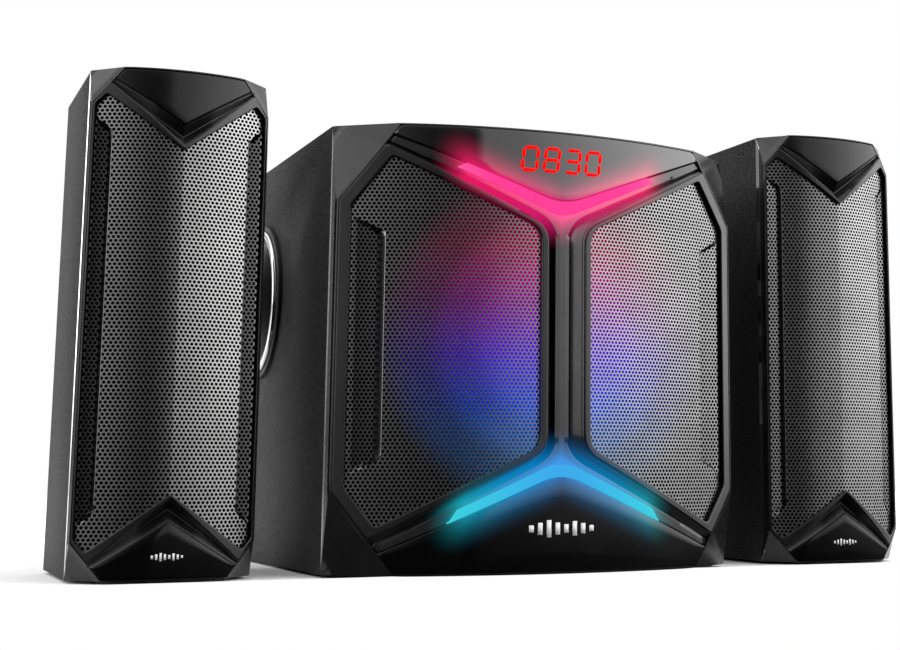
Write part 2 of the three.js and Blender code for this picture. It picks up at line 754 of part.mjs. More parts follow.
function controls() {
  const face = SUB.width / 2;
  const [y, z] = [CONTROL_Y, CONTROL_Z];
  const pieces = {};
  let plate = block(face + GAP, face + 2, y - 23, y + 23, z - 66, z + 66);
  plate = plate.add(block(face - 2, face + 1, y - 17.6, y + 17.6, z - 59.6, z + 59.6));
  [['volume_knob', 40, 13], ['treble_knob', 8, 9], ['bass_knob', -18, 9]].forEach(([name, up, radius]) => {
    pieces[name] = knobSolid(y, z + up, radius);
    plate = plate.subtract(rod('x', y, z + up, face - 4, face + 3, 3.4, 16));
  });
  ['button_previous', 'button_play', 'button_next'].forEach((name, i) => {
    const at = [y + (1 - i) * 12, z - 46];
    const cap = rod('x', ...at, face - 3, face + 3.6, 4, 20);
    pieces[name] = cap.add(rod('x', ...at, face - 4.2, face - 2.7, 5, 20));
    plate = plate.subtract(rod('x', ...at, face - 4, face + 3, 4.3, 20));
  });
  return { control_panel: plate, ...pieces };
}

function amplifierPlate() {
  const back = SUB.depth;
  let plate = block(-70, 70, back + GAP, back + 2.3, 28, 204);
  plate = plate.subtract(block(33.2, 56.8, back - 1, back + 4, 43.2, 56.8));
  plate = plate.subtract(block(-8.2, 16.2, back - 1, back + 4, 41.2, 58.8));
  return plate.subtract(block(-54.3, -25.7, back - 1, back + 4, 42.7, 59.3));
}

function mainsInlet() {
  const back = SUB.depth;
  let inlet = block(33.5, 56.5, back - 16, back + 2.3, 43.5, 56.5);
  inlet = inlet.add(block(31, 59, back + 2.6, back + 4.2, 41, 59));
  inlet = inlet.add(block(34, 56, back + 2, back + 3, 44, 56));
  inlet = inlet.subtract(block(36.6, 53.4, back - 12, back + 5, 46.2, 53.8));
  for (const x of [41, 49]) inlet = inlet.add(rod('y', x, 50, back - 13, back - 3, 1.1, 10));
  return inlet;
}

function switchFrame() {
  const back = SUB.depth;
  const box = block(-7.9, 15.9, back - 14, back + 2.3, 41.5, 58.5);
  const neck = block(-7.5, 15.5, back + 2, back + 3, 42, 58);
  const rim = block(-11, 19, back + 2.6, back + 4, 39, 61);
  return box.add(neck).add(rim).subtract(block(-6, 14, back - 8, back + 5, 43.4, 56.6));
}

// Rocker about an upright pivot, pressed down on its left end at rest.
function rocker() {
  const profile = outline([[-8.6, 2.6], [0, 1.4], [8.6, 2.6], [8.6, -2], [0, -5], [-8.6, -2]]);
  const body = new THREE.ExtrudeGeometry(profile, { depth: 12.4, bevelEnabled: false });
  return solid(body.rotateZ(ROCKER_TILT).translate(ROCKER_X, SUB.depth + 1, 43.8));
}

function outputJacks() {
  const back = SUB.depth;
  let jacks = block(-58, -22, back + 2.6, back + 6, 40, 62).add(block(-54, -26, back - 12, back + 3, 43, 59));
  for (const x of [-49, -31]) {
    jacks = jacks.add(rod('y', x, 51, back + 5, back + 13, 4.2, 20));
    jacks = jacks.subtract(rod('y', x, 51, back + 4, back + 14, 1.7, 12));
  }
  return jacks;
}

function heatSink() {
  const back = SUB.depth;
  let sink = block(-50, 50, back + 2.6, back + 5.4, 76, 190);
  for (let i = 0; i < FINS; i += 1) {
    const z = 80 + i * 12.9;
    sink = sink.add(block(-50, 50, back + 5, back + 14, z, z + 2.6));
  }
  return sink;
}

function amplifierBoard() {
  const back = SUB.depth;
  const board = block(-55, 55, back - 24, back - 22.4, 70, 186);
  return board.add(block(-30, 30, back - 22.5, back - 0.4, 96, 100));
}

function rear() {
  return {
    amp_plate: amplifierPlate(),
    heat_sink: heatSink(),
    mains_inlet: mainsInlet(),
    switch_frame: switchFrame(),
    power_rocker: rocker(),
    output_jacks: outputJacks(),
    amp_board: amplifierBoard(),
    transformer: block(-34, 34, 130, 178, 9.3, 61).add(block(-20, 20, 118, 190, 16, 54)),
  };
}

// ---- the set -----------------------------------------------------------------------------------

const LOOKS = {
  wrap: { color: 0x3b3b3c, roughness: 0.72, metalness: 0 },
  moulding: { color: 0x2c2c2d, roughness: 0.42, metalness: 0 },
  gloss: { color: 0x070708, roughness: 0.08, metalness: 0 },
  grille: { color: 0x77777a, roughness: 0.38, metalness: 0.85 },
  pink: { color: 0xff3a96, roughness: 0.3, metalness: 0, emissive: 0xff2a8c },
  cyan: { color: 0x3ac6e8, roughness: 0.3, metalness: 0, emissive: 0x2aa8f0 },
  ring: { color: 0xe8e8f4, roughness: 0.4, metalness: 0, emissive: 0x6a3cff },
  chrome: { color: 0xe6e6e8, roughness: 0.06, metalness: 1 },
  rubber: { color: 0x151515, roughness: 0.85, metalness: 0 },
  paper: { color: 0x1b1b1c, roughness: 0.8, metalness: 0 },
  steel: { color: 0x8b8c8e, roughness: 0.4, metalness: 1 },
  plate: { color: 0x232325, roughness: 0.5, metalness: 0.6 },
  board: { color: 0x1d4a2c, roughness: 0.5, metalness: 0 },
};

// Looks of the subwoofer's smaller pieces; the ones left out are black moulding.
const SUB_LOOKS = {
  woofer_basket: 'steel',
  woofer_magnet: 'steel',
  woofer_surround: 'rubber',
  woofer_cone: 'paper',
  sub_light_ring: 'ring',
  port_ring: 'chrome',
  amp_plate: 'plate',
  heat_sink: 'plate',
  mains_inlet: 'rubber',
  switch_frame: 'rubber',
  power_rocker: 'rubber',
  amp_board: 'board',
  transformer: 'steel',
};

const set = new THREE.Group();

function add(group, name, body, look) {
  const mesh = new THREE.Mesh(geometryOf(body), new THREE.MeshStandardMaterial(LOOKS[look]));
  mesh.name = name;
  group.add(mesh);
}

function addSubwoofer() {
  const group = new THREE.Group();
  add(group, 'sub_cabinet', subCabinet(), 'wrap');
  add(group, 'sub_front_frame', subFrame(), 'moulding');
  add(group, 'sub_centre_trim', centreTrim(), 'moulding');
  add(group, 'sub_top_panel', subPanel(TOP.panel, 260, GAP), 'gloss');
  add(group, 'sub_bottom_panel', subPanel(BOTTOM.panel, -20, -GAP), 'gloss');
  add(group, 'sub_top_light', lightBar(TOP), 'pink');
  add(group, 'sub_bottom_light', lightBar(BOTTOM), 'cyan');
  add(group, 'sub_grille_left', grille(SUB, SUB_LEFT_WINDOW, SUB_RECESS, [-1]), 'grille');
  add(group, 'sub_grille_right', grille(SUB, SUB_WINDOW, SUB_RECESS, [1]), 'grille');
  add(group, 'sub_display_module', block(-30, 30, -29, -21, 210, 232), 'plate');
  for (const [name, body] of Object.entries({ ...woofer(), ...port(), ...controls(), ...rear() })) {
    add(group, name, body, SUB_LOOKS[name] ?? 'moulding');
  }
  ['front_left', 'front_right', 'rear_left', 'rear_right'].forEach((place, i) => {
    const foot = rod('z', (i % 2 ? 1 : -1) * 92, i < 2 ? 24 : 196, -FOOT, -GAP, 11, 24);
    add(group, `sub_foot_${place}`, foot, 'rubber');
  });
  group.position.set(0, -CENTRE_Y, FOOT);
  set.add(group);
}

function inputJack() {
  const back = SAT.depth;
  const plate = block(-16, 16, back + GAP, back + 2.2, 39, 71);
  const box = block(-12.6, 12.6, back - 7, back + 1, 42.4, 67.6);
  const sleeve = rod('y', 0, 55, back + 1, back + 10, 4.2, 20);
  return plate.add(box).add(sleeve).subtract(rod('y', 0, 55, back + 2, back + 11, 1.7, 12));
}

function addSatellite(side, label) {
  const group = new THREE.Group();
  const driver = satDriver();
  add(group, `${label}_cabinet`, satCabinet(), 'wrap');
  add(group, `${label}_front_frame`, satFrame(), 'moulding');
  add(group, `${label}_top_panel`, satPanel(1), 'gloss');
  add(group, `${label}_bottom_panel`, satPanel(-1), 'gloss');
  add(group, `${label}_grille`, grille(SAT, satWindow(), SAT_RECESS, [-1, 1]), 'grille');
  add(group, `${label}_driver_basket`, driver.driver_basket, 'steel');
  add(group, `${label}_driver_magnet`, driver.driver_magnet, 'steel');
  add(group, `${label}_driver_cone`, driver.driver_cone, 'paper');
  add(group, `${label}_input_jack`, inputJack(), 'moulding');
  add(group, `${label}_front_foot`, block(-34, 34, 8, 18, -FOOT, -GAP), 'rubber');
  add(group, `${label}_rear_foot`, block(-34, 34, SAT.depth - 18, SAT.depth - 8, -FOOT, -GAP), 'rubber');
  group.position.set(side * (SUB.width / 2 + SPACING + SAT.width / 2), SET_BACK - CENTRE_Y, FOOT);
  set.add(group);
}

addSubwoofer();
addSatellite(-1, 'left');
addSatellite(1, 'right');

export default set;
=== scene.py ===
import json
import math

import bmesh
import bpy
import numpy as np
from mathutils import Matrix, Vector

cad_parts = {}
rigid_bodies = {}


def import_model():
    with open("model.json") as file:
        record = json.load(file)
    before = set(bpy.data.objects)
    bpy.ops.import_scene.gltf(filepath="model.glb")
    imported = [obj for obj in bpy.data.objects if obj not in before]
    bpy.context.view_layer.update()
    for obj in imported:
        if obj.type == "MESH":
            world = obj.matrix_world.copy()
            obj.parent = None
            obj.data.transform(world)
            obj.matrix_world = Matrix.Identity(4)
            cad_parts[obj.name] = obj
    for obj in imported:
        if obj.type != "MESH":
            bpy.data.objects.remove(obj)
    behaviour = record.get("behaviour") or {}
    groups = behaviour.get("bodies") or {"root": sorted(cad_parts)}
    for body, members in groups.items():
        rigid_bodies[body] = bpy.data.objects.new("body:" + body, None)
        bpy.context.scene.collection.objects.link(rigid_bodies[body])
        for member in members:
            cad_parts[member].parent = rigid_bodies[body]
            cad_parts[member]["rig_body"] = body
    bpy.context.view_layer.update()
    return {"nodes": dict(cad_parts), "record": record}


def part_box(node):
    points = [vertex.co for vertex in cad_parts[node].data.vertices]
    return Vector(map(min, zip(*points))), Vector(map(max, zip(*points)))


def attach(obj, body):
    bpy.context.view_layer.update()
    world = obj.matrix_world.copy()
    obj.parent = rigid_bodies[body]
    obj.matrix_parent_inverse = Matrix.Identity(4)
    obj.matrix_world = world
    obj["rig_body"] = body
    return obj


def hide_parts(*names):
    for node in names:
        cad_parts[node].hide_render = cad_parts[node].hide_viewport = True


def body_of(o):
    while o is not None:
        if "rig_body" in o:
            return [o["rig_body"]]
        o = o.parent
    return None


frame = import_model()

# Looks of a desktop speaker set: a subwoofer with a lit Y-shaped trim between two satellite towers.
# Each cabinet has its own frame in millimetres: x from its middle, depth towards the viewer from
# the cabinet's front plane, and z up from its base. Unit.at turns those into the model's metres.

MM = 0.001
GAP = 0.3  # clearance round the front mouldings


def arch(crown, radius):
    """Depth of a front that bulges along a circle."""
    return lambda x: crown - (radius - math.sqrt(radius * radius - x * x))


def ogive(crown, slope, bend):
    """Depth of a front that rises to a soft ridge in the middle."""
    return lambda x: crown - slope * abs(x) - bend * x * x


def chevron(height, rise, soft=0.0):
    """Height of a V over x, with its point rounded off between -soft and soft."""
    def line(x):
        if abs(x) >= soft:
            return height + rise * abs(x)
        return height + rise * (x * x + soft * soft) / (2 * soft)
    return line


class Unit:
    """A cabinet with its front moulding's shape, in its own frame."""

    def __init__(self, cabinet, body, cut_up, cut_across, face, lip):
        low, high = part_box(cabinet)
        self.origin = Vector(((low.x + high.x) / 2, low.y, low.z))
        self.half = (high.x - low.x) / 2 / MM
        self.height = (high.z - low.z) / MM
        self.back = (high.y - low.y) / MM
        self.body = body
        self.face = face
        self.lip = lip
        self.edge = self.half - GAP
        self.inner = self.half - cut_across
        self.slant = cut_up / (cut_across - GAP)

    def at(self, x, depth, z):
        return self.origin + Vector((x, -depth, z)) * MM

    def diagonal(self, inset):
        """Line of the top corners' creases as z = height - slope * x, moved inwards."""
        shift = inset * math.sqrt(1 + self.slant**2)
        return self.height + self.slant * self.inner - shift, self.slant

    def meet(self, line, inset, end=1):
        """Where a chevron reaches the corner's crease; end is 1 at the top and -1 at the bottom."""
        rise = (line(200) - line(100)) / 100
        height = line(200) - 200 * rise
        if end < 0:
            height, rise = self.height - height, -rise
        top, fall = self.diagonal(inset)
        x = (top - height) / (fall + rise)
        z = height + rise * x
        return (x, z if end > 0 else self.height - z)

    def crease(self, inset):
        """The eight corners of the front between its sloping corner facets."""
        top, fall = self.diagonal(inset)
        high = self.height - inset
        side = self.edge - inset
        x, z = (top - high) / fall, top - fall * side
        quarter = [(x, high), (side, z), (side, self.height - z), (x, self.height - high)]
        return quarter + [(-px, pz) for px, pz in reversed(quarter)]

    def outer_end(self, x, inset, end):
        """Height of the crease above or below x."""
        top, fall = self.diagonal(inset)
        z = min(self.height - inset, top - fall * abs(x))
        return z if end > 0 else self.height - z


def make_unit(cabinet, body):
    if cabinet == "sub_cabinet":
        return Unit(cabinet, body, 42.2, 30.5, arch(40, 268), ogive(46.5, 0.0592, 0.00193))
    return Unit(cabinet, body, 18.3, 14.9, arch(21.6, 92.5), ogive(24.5, 0.06, 0.00587))


SUB = make_unit("sub_cabinet", "subwoofer")
SATELLITES = {side: make_unit(f"{side}_cabinet", f"{side}_satellite") for side in ("left", "right")}

# Lines of the subwoofer's front, at the top and at the bottom.
LINES = {
    1: {
        "panel": chevron(198.8, 0.377, 12.2),
        "bar_upper": chevron(198.75, 0.377, 12.2),
        "bar_lower": chevron(191.4, 0.427, 8.3),
        "rib": chevron(187.3, 0.4556),
        "lip": chevron(179.5, 0.495),
        "bar_ends": (54.3, 59.5),
    },
    -1: {
        "panel": chevron(53, -0.4305, 12),
        "bar_upper": chevron(59.8, -0.457, 11),
        "bar_lower": chevron(53.05, -0.4305, 12),
        "rib": chevron(63.8, -0.4925),
        "lip": chevron(70.2, -0.504),
        "bar_ends": (57.4, 62),
    },
}
RIB_HALF = 3.1
CHANNEL_HALF = 10.9
TRIM_INSET = 1.2  # the trim's and the panels' ends inside the corner creases
FORK = 125  # height at which the trim's upper and lower halves meet
RIB_DROP = 1.2
SUB_WINDOW = [
    (93.4, 222.2, 2.5), (113.4, 194.8, 2.5), (113.4, 45.4, 2.5),
    (98.4, 24.6, 2.5), (14.6, 66.4, 7), (14.6, 184.4, 7),
]
# Pressed recess beside a sheet's outer edges: it drops from inner to its deepest line at fold, and
# comes up again at outer.
SUB_RECESS = dict(outer=110.5, inner=95.5, fold=97.8, depth=4, outer_z=(52.2, 188.8), inner_z=(59.8, 180.8))
SAT_RECESS = dict(outer=43.4, inner=35.3, fold=36.3, depth=3, outer_z=(25.5, 235.1), inner_z=(32.9, 227.7))
SHEET_BACK = 3.0  # front of the perforated sheet behind the surrounds' surface
SHEET_THICK = 0.8
HOLE_PITCH = 2.3
HOLE_ROW = 2.0
HOLE_RADIUS = 0.9
RECESS_RAMP = 2.0  # length of a recess's end slopes
ROLL = 0.55  # radius of the trim's and the panels' edges
LEVELS = (0.4, 0.7, 1, 0.7, 0.5, 0.85, 0.6, 0.35)  # bar heights of the printed mark

# ---- shapes ----


def bezier(a, b, c, t):
    s = 1 - t
    return tuple(s * s * p + 2 * s * t * q + t * t * r for p, q, r in zip(a, b, c))


def between(a, b, t):
    return tuple(p + (q - p) * t for p, q in zip(a, b))


CORNER_POINTS = 6
ROLL_STEPS = 4
EDGE_POINTS = 24  # along each of the front's eight edges


def rounded(corners, edge_points):
    """Closed line through corners (x, z, tangent length) with each corner rounded off."""
    line = []
    for i, (x, z, tangent) in enumerate(corners):
        here = Vector((x, z))
        before = Vector(corners[i - 1][:2])
        after = Vector(corners[(i + 1) % len(corners)][:2])
        start = here + (before - here).normalized() * tangent
        end = here + (after - here).normalized() * tangent
        line += [bezier(start, here, end, k / CORNER_POINTS) for k in range(CORNER_POINTS + 1)]
        following = corners[(i + 1) % len(corners)]
        stop = after + (here - after).normalized() * following[2]
        line += [between(end, stop, k / (edge_points + 1)) for k in range(1, edge_points + 1)]
    return line


def grown(corners, grow):
    """Moves every edge of an outline outwards."""
    points = [Vector(c[:2]) for c in corners]
    area = sum(p.x * q.y - q.x * p.y for p, q in zip(points, points[1:] + points[:1]))
    turn = math.copysign(1, area)
    moved = []
    for i, here in enumerate(points):
        a = (here - points[i - 1]).normalized()
        b = (points[(i + 1) % len(points)] - here).normalized()
        na, nb = Vector((a.y, -a.x)) * turn, Vector((b.y, -b.x)) * turn
        moved.append(here + (na + nb) * (grow / (1 + na.dot(nb))))
    return [(p.x, p.y, *c[2:]) for p, c in zip(moved, corners)]


def mirrored(corners):
    return [(-c[0], *c[1:]) for c in reversed(corners)]


def rolled_row(p, q, surface, radius=0.6, walls=(2.0, 2.0), count=6):
    """Points from p to q on a surface, rolled over both edges and down a wall below each."""
    length = (Vector(q) - Vector(p)).length
    reach = min(radius, 0.45 * length) / max(length, 1e-6)
    turns = [k * math.pi / 2 / ROLL_STEPS for k in range(ROLL_STEPS + 1)]
    edge = [(reach * (1 - math.cos(a)), radius * (1 - math.sin(a))) for a in turns]
    middle = [(reach + (1 - 2 * reach) * k / (count + 1), 0) for k in range(1, count + 1)]
    profile = [(0, walls[0]), *edge, *middle, *[(1 - t, drop) for t, drop in reversed(edge)], (1, walls[1])]
    row = []
    for t, drop in profile:
        x, z = between(p, q, t)
        row.append((x, surface(x) - drop, z))
    return row


class Shell:
    """Strips of quads in a unit's frame, made into one piece."""

    def __init__(self, unit):
        self.unit = unit
        self.points = []
        self.faces = []

    def strip(self, rows, closed=False):
        first, count = len(self.points), len(rows[0])
        for row in rows:
            self.points += row
        for i in range(len(rows) if closed else len(rows) - 1):
            here, there = first + i * count, first + (i + 1) % len(rows) * count
            for j in range(count - 1):
                self.faces.append((here + j, here + j + 1, there + j + 1, there + j))
        return self

    def piece(self, name, look, slot=None, replaces=None, thickness=1.2, sharp=32):
        points = [self.unit.at(*p) for p in self.points]
        mesh = joined_mesh(name, points, self.faces, 2e-6, 1e-6, forward=thickness > 0)
        made = finish_piece(name, mesh, look, self.unit.body, replaces, sharp)
        if thickness:
            solid = made.modifiers.new("thickness", "SOLIDIFY")
            solid.thickness = thickness * MM
            solid.offset = -1


def joined_mesh(name, points, faces, near, thin, forward=False):
    """A mesh whose points are joined where strips meet; forward turns an open one to the front."""
    mesh = bpy.data.meshes.new(name)
    mesh.from_pydata(points, [], faces)
    work = bmesh.new()
    work.from_mesh(mesh)
    bmesh.ops.remove_doubles(work, verts=work.verts, dist=near)
    bmesh.ops.dissolve_degenerate(work, edges=work.edges, dist=thin)
    bmesh.ops.recalc_face_normals(work, faces=work.faces)
    if forward and sum(f.normal.y * f.calc_area() for f in work.faces) > 0:
        bmesh.ops.reverse_faces(work, faces=work.faces)
    work.to_mesh(mesh)
    work.free()
    return mesh


def placed(name, data):
    made = bpy.data.objects.new(name, data)
    bpy.context.scene.collection.objects.link(made)
    return made


def finish_piece(name, mesh, look, body, replaces=None, sharp=32):
    mesh.shade_smooth()
    mesh.set_sharp_from_angle(angle=math.radians(sharp))
    made = placed(name, mesh)
    mesh.materials.append(MATERIALS[look])
    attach(made, body)
    if replaces:
        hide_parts(replaces)
    return made


PORT_DEPTH, PORT_HEIGHT = 150, 157.3  # the port's axis, behind the front plane and above the base
PORT_SEGMENTS = 96


def turned(name, look, profile, node):
    """Solid of revolution about the port's axis; profile points are (radius, x)."""
    points, faces = [], []
    for k in range(PORT_SEGMENTS):
        a = 2 * math.pi * k / PORT_SEGMENTS
        points += [SUB.at(x, -PORT_DEPTH + radius * math.cos(a), PORT_HEIGHT + radius * math.sin(a))
                   for radius, x in profile]
    count = len(profile)
    for k in range(PORT_SEGMENTS):
        here, there = k * count, (k + 1) % PORT_SEGMENTS * count
        for j in range(count):
            following = (j + 1) % count
            faces.append((here + j, here + following, there + following, there + j))
    mesh = joined_mesh(name, points, faces, 1e-6, 1e-7)
    finish_piece(name, mesh, look, SUB.body, node)


FLAT_ANGLE = 1  # degrees between facets of one flat face
EDGE_ANGLE = 38  # degrees from which an edge is rounded


def refined(node, name, look, width, segments=2):
    """A CAD node's shape with its edges rounded."""
    source = frame["nodes"][node]
    work = bmesh.new()
    work.from_mesh(source.data)
    bmesh.ops.remove_doubles(work, verts=work.verts, dist=1e-6)
    bmesh.ops.dissolve_limit(
        work, angle_limit=math.radians(FLAT_ANGLE), verts=work.verts, edges=work.edges,
    )
    sharpest = math.radians(EDGE_ANGLE)
    corners = [e for e in work.edges if e.is_manifold and e.calc_face_angle() > sharpest]
    bmesh.ops.bevel(
        work, geom=corners, offset=width * MM, segments=segments, profile=0.5,
        affect="EDGES", clamp_overlap=True, harden_normals=False,
    )
    mesh = bpy.data.meshes.new(name)
    work.to_mesh(mesh)
    work.free()
    finish_piece(name, mesh, look, body_of(source)[0], node, sharp=40)


# ---- materials ----


NOISE_SPAN = 0.3, 0.7  # the range that a noise texture mostly keeps to


class Tree:
    """Small steps for building a node tree."""

    def __init__(self, tree):
        self.tree = tree

    def node(self, kind, **settings):
        made = self.tree.nodes.new(kind)
        for key, value in settings.items():
            setattr(made, key, value)
        return made

    def feed(self, socket, value):
        if isinstance(value, bpy.types.NodeSocket):
            self.tree.links.new(value, socket)
        else:
            colour = isinstance(value, tuple) and len(socket.default_value) == 4
            socket.default_value = (*value, 1) if colour else value

    def step(self, kind, inputs, output=0, **settings):
        """Adds a node with its inputs, and gives one of its outputs."""
        made = self.node(kind, **settings)
        for key, value in inputs.items():
            self.feed(made.inputs[key], value)
        return made.outputs[output]

    def math(self, operation, *values, clamp=False):
        inputs = dict(enumerate(values))
        return self.step("ShaderNodeMath", inputs, operation=operation, use_clamp=clamp)

    def vector(self, operation, inputs):
        return self.step("ShaderNodeVectorMath", inputs, operation=operation)

    def shades(self, value, places, colours, interpolation="LINEAR"):
        """Colour ramp with its stops at places between 0 and 1."""
        made = self.node("ShaderNodeValToRGB")
        made.color_ramp.interpolation = interpolation
        elements = made.color_ramp.elements
        while len(elements) < len(places):
            elements.new(0.5)
        for element, place, colour in zip(elements, places, colours):
            element.position = place
            element.color = (*colour, 1)
        self.feed(made.inputs[0], value)
        return made.outputs[0]


class Graph(Tree):
    """A material's node tree. Lengths in it are millimetres."""

    def __init__(self, name, roughness, metallic=0.0, coat=0.0, specular=0.5):
        self.name = name
        self.material = bpy.data.materials.new(f"{name}_look")
        self.material.use_nodes = True
        super().__init__(self.material.node_tree)
        self.shader = self.tree.nodes["Principled BSDF"]
        self.shade({
            "Metallic": metallic, "Roughness": roughness, "Coat Weight": coat, "Coat Roughness": 0.03,
            "Specular IOR Level": specular,
        })
        where = self.node("ShaderNodeTexCoord").outputs["Object"]
        self.place = self.scaled(where, 1 / MM)

    def shade(self, inputs):
        for key, value in inputs.items():
            self.feed(self.shader.inputs[key], value)
        return self

    def distance(self, across, along):
        squares = [self.math("POWER", value, 2.0) for value in (across, along)]
        return self.math("SQRT", self.math("ADD", *squares))

    def local(self, unit):
        """x, depth and z in a cabinet's own frame."""
        parts = self.node("ShaderNodeSeparateXYZ")
        self.feed(parts.inputs[0], self.place)
        x, y, z = parts.outputs
        start = unit.origin / MM
        depth = self.math("SUBTRACT", start.y, y)
        return self.math("SUBTRACT", x, start.x), depth, self.math("SUBTRACT", z, start.z)

    def ramp(self, value, stops, interpolation="LINEAR"):
        """Colour by value; stops are (position, colour)."""
        low, high = stops[0][0], stops[-1][0]
        spread = self.math("DIVIDE", self.math("SUBTRACT", value, low), high - low, clamp=True)
        places = [(position - low) / (high - low) for position, _ in stops]
        return self.shades(spread, places, [colour for _, colour in stops], interpolation)

    def noise(self, scale, detail=3.0, stretch=(1, 1, 1)):
        mapped = self.vector("MULTIPLY", {0: self.place, 1: stretch})
        return self.step("ShaderNodeTexNoise", {"Vector": mapped, "Scale": scale, "Detail": detail}, "Fac")

    def cells(self):
        """Soft cells of about a millimetre."""
        inputs = {"Vector": self.place, "Scale": 1.0}
        return self.step("ShaderNodeTexVoronoi", inputs, "Distance", feature="SMOOTH_F1")

    def colour(self, value, dark, light):
        return self.shade({"Base Color": self.ramp(value, list(zip(NOISE_SPAN, (dark, light))))})

    def rough(self, value, low, high):
        span = {"From Min": NOISE_SPAN[0], "From Max": NOISE_SPAN[1], "To Min": low, "To Max": high}
        return self.shade({"Roughness": self.step("ShaderNodeMapRange", {"Value": value, **span})})

    def bump(self, height, strength, distance):
        inputs = {"Strength": strength, "Distance": distance * MM, "Height": height}
        return self.shade({"Normal": self.step("ShaderNodeBump", inputs)})

    def glow(self, colour, strength):
        return self.shade({"Emission Color": colour, "Emission Strength": strength})

    def scaled(self, colour, factor):
        return self.vector("SCALE", {0: colour, "Scale": factor})

    def summed(self, first, second):
        return self.vector("ADD", {0: first, 1: second})


def linear(red, green, blue):
    """A screen colour, 0 to 255, as light."""
    shares = (red / 255, green / 255, blue / 255)
    return tuple(c / 12.92 if c < 0.04 else ((c + 0.055) / 1.055) ** 2.4 for c in shares)


PINK = linear(255, 60, 150)
# The light's middle line over x as (height, rise), and its colours away from the middle.
HALOS = [
    (194.8, 0.401, [(0, linear(235, 30, 120)), (60, linear(220, 20, 90))]),
    (56.6, -0.444, [(0, linear(0, 128, 210)), (30, linear(5, 132, 190)), (60, linear(20, 150, 160))]),
]
BAR_HALF = 3.2
HALO_END = 52  # x from which the light dies away along the bars


def halo(graph, strength, reach=20, extra=None):
    """Light that the two strips throw on what lies beside them on the subwoofer's front."""
    x, _, z = graph.local(SUB)
    across = graph.math("ABSOLUTE", x)
    total = None
    for height, rise, tints in HALOS:
        line = graph.math("ADD", height, graph.math("MULTIPLY", across, rise))
        away = graph.math("ABSOLUTE", graph.math("SUBTRACT", z, line))
        beyond = graph.math("MAXIMUM", graph.math("SUBTRACT", across, HALO_END), 0.0)
        outside = graph.math("SUBTRACT", graph.distance(away, beyond), BAR_HALF)
        fall = graph.math("DIVIDE", graph.math("MAXIMUM", outside, 0.0), reach)
        lit = graph.math("POWER", graph.math("SUBTRACT", 1.0, fall, clamp=True), 2.6)
        part = graph.scaled(graph.ramp(across, tints), graph.math("MULTIPLY", lit, strength))
        total = part if total is None else graph.summed(total, part)
    return graph.glow(total if extra is None else graph.summed(total, extra), 1.0)


def inner_glow(graph, strength):
    """Coloured light behind the perforated sheets, by height, fading out from the woofer's middle."""
    x, _, z = graph.local(SUB)
    stops = [
        (62, linear(0, 125, 225)), (90, linear(15, 72, 235)), (116, linear(80, 30, 220)),
        (143, linear(140, 5, 155)), (176, linear(205, 0, 100)),
    ]
    above = graph.math("ABSOLUTE", graph.math("SUBTRACT", z, 124))
    radius = graph.distance(graph.math("ABSOLUTE", x), above)
    fading = [(0, 1), (36, 0.85), (58, 0.45), (76, 0.15), (100, 0)]
    fade = graph.ramp(radius, [(place, (share,) * 3) for place, share in fading], "EASE")
    return graph.scaled(graph.scaled(graph.ramp(z, stops), fade), strength)


def wrap_material():
    """Vinyl wrap with a fine leather grain."""
    graph = Graph("grained_wrap", 0.55, specular=0.08)
    grain = graph.cells()
    fine = graph.noise(1.6, 4, stretch=(1, 0.4, 1))
    broad = graph.noise(0.02, 2)
    height = graph.math("ADD", grain, graph.math("MULTIPLY", fine, 0.8))
    grains = graph.math("MULTIPLY", graph.noise(1.1, 2, stretch=(1, 0.3, 1)), 0.85)
    speckle = graph.math("ADD", grains, graph.math("MULTIPLY", broad, 0.15))
    graph.colour(speckle, (0.002, 0.002, 0.0021), (0.046, 0.046, 0.047))
    return graph.rough(fine, 0.46, 0.64).bump(height, 0.55, 0.2)


def moulding_material():
    graph = Graph("satin_moulding", 0.24, specular=0.42)
    graph.colour(graph.noise(0.03, 2), (0.006, 0.006, 0.0065), (0.01, 0.01, 0.0105))
    graph.rough(graph.noise(0.9), 0.2, 0.28).bump(graph.noise(3.5, 2), 0.08, 0.04)
    return halo(graph, 0.85)


def slope_material(side):
    """Satin plastic of a satellite's V-shaped slopes, with a painted reflection: its colour grows lighter
    towards the ends of the arms.
    """
    graph = Graph(f"{side}_slope", 0.3, specular=0.4)
    arm = graph.math("ABSOLUTE", graph.local(SATELLITES[side])[0])
    uneven = graph.math("MULTIPLY", graph.noise(0.08, 2), 4.0)
    # Painted reflection: near black at the V's point, grey towards the ends of the arms.
    reflection_levels = [(9, 0.004), (15, 0.012), (19, 0.045), (40, 0.06)]
    shade = graph.ramp(graph.math("ADD", arm, uneven), [(place, (level,) * 3) for place, level in reflection_levels])
    return graph.shade({"Base Color": shade}).rough(graph.noise(0.9), 0.24, 0.34)


def surface(name, tones, roughness, spread, scales=(0.02, 0.05), detail=2, **settings):
    """Smooth surface whose tone and roughness vary a little."""
    graph = Graph(name, roughness, **settings)
    graph.colour(graph.noise(scales[0], detail), *tones)
    return graph.rough(graph.noise(scales[1]), *spread)


def sheet_material(name, level):
    """Perforated sheet of a given grey; the copies with darker greys on the recesses and folds are painted
    shade, and its front carries painted glow from the strips and from the light inside.
    """
    graph = Graph(name, 0.28, metallic=1.0)
    graph.colour(graph.noise(0.05, 2), (level * 0.92,) * 3, (level * 1.08,) * 3)
    graph.rough(graph.noise(1.2, 2), 0.25, 0.32)
    return halo(graph, 0.25, 17, inner_glow(graph, 0.3))


def matt(name, roughness, specular, scale, dark, light):
    graph = Graph(name, roughness, specular=specular)
    return graph.colour(graph.noise(scale), dark, light)


def bar_material(name, dark, light, stops, strength):
    """A light bar, coloured by the distance from its middle."""
    graph = matt(name, 0.4, 0.02, 0.5, dark, light)
    across = graph.math("ABSOLUTE", graph.local(SUB)[0])
    return graph.glow(graph.ramp(across, stops), strength)


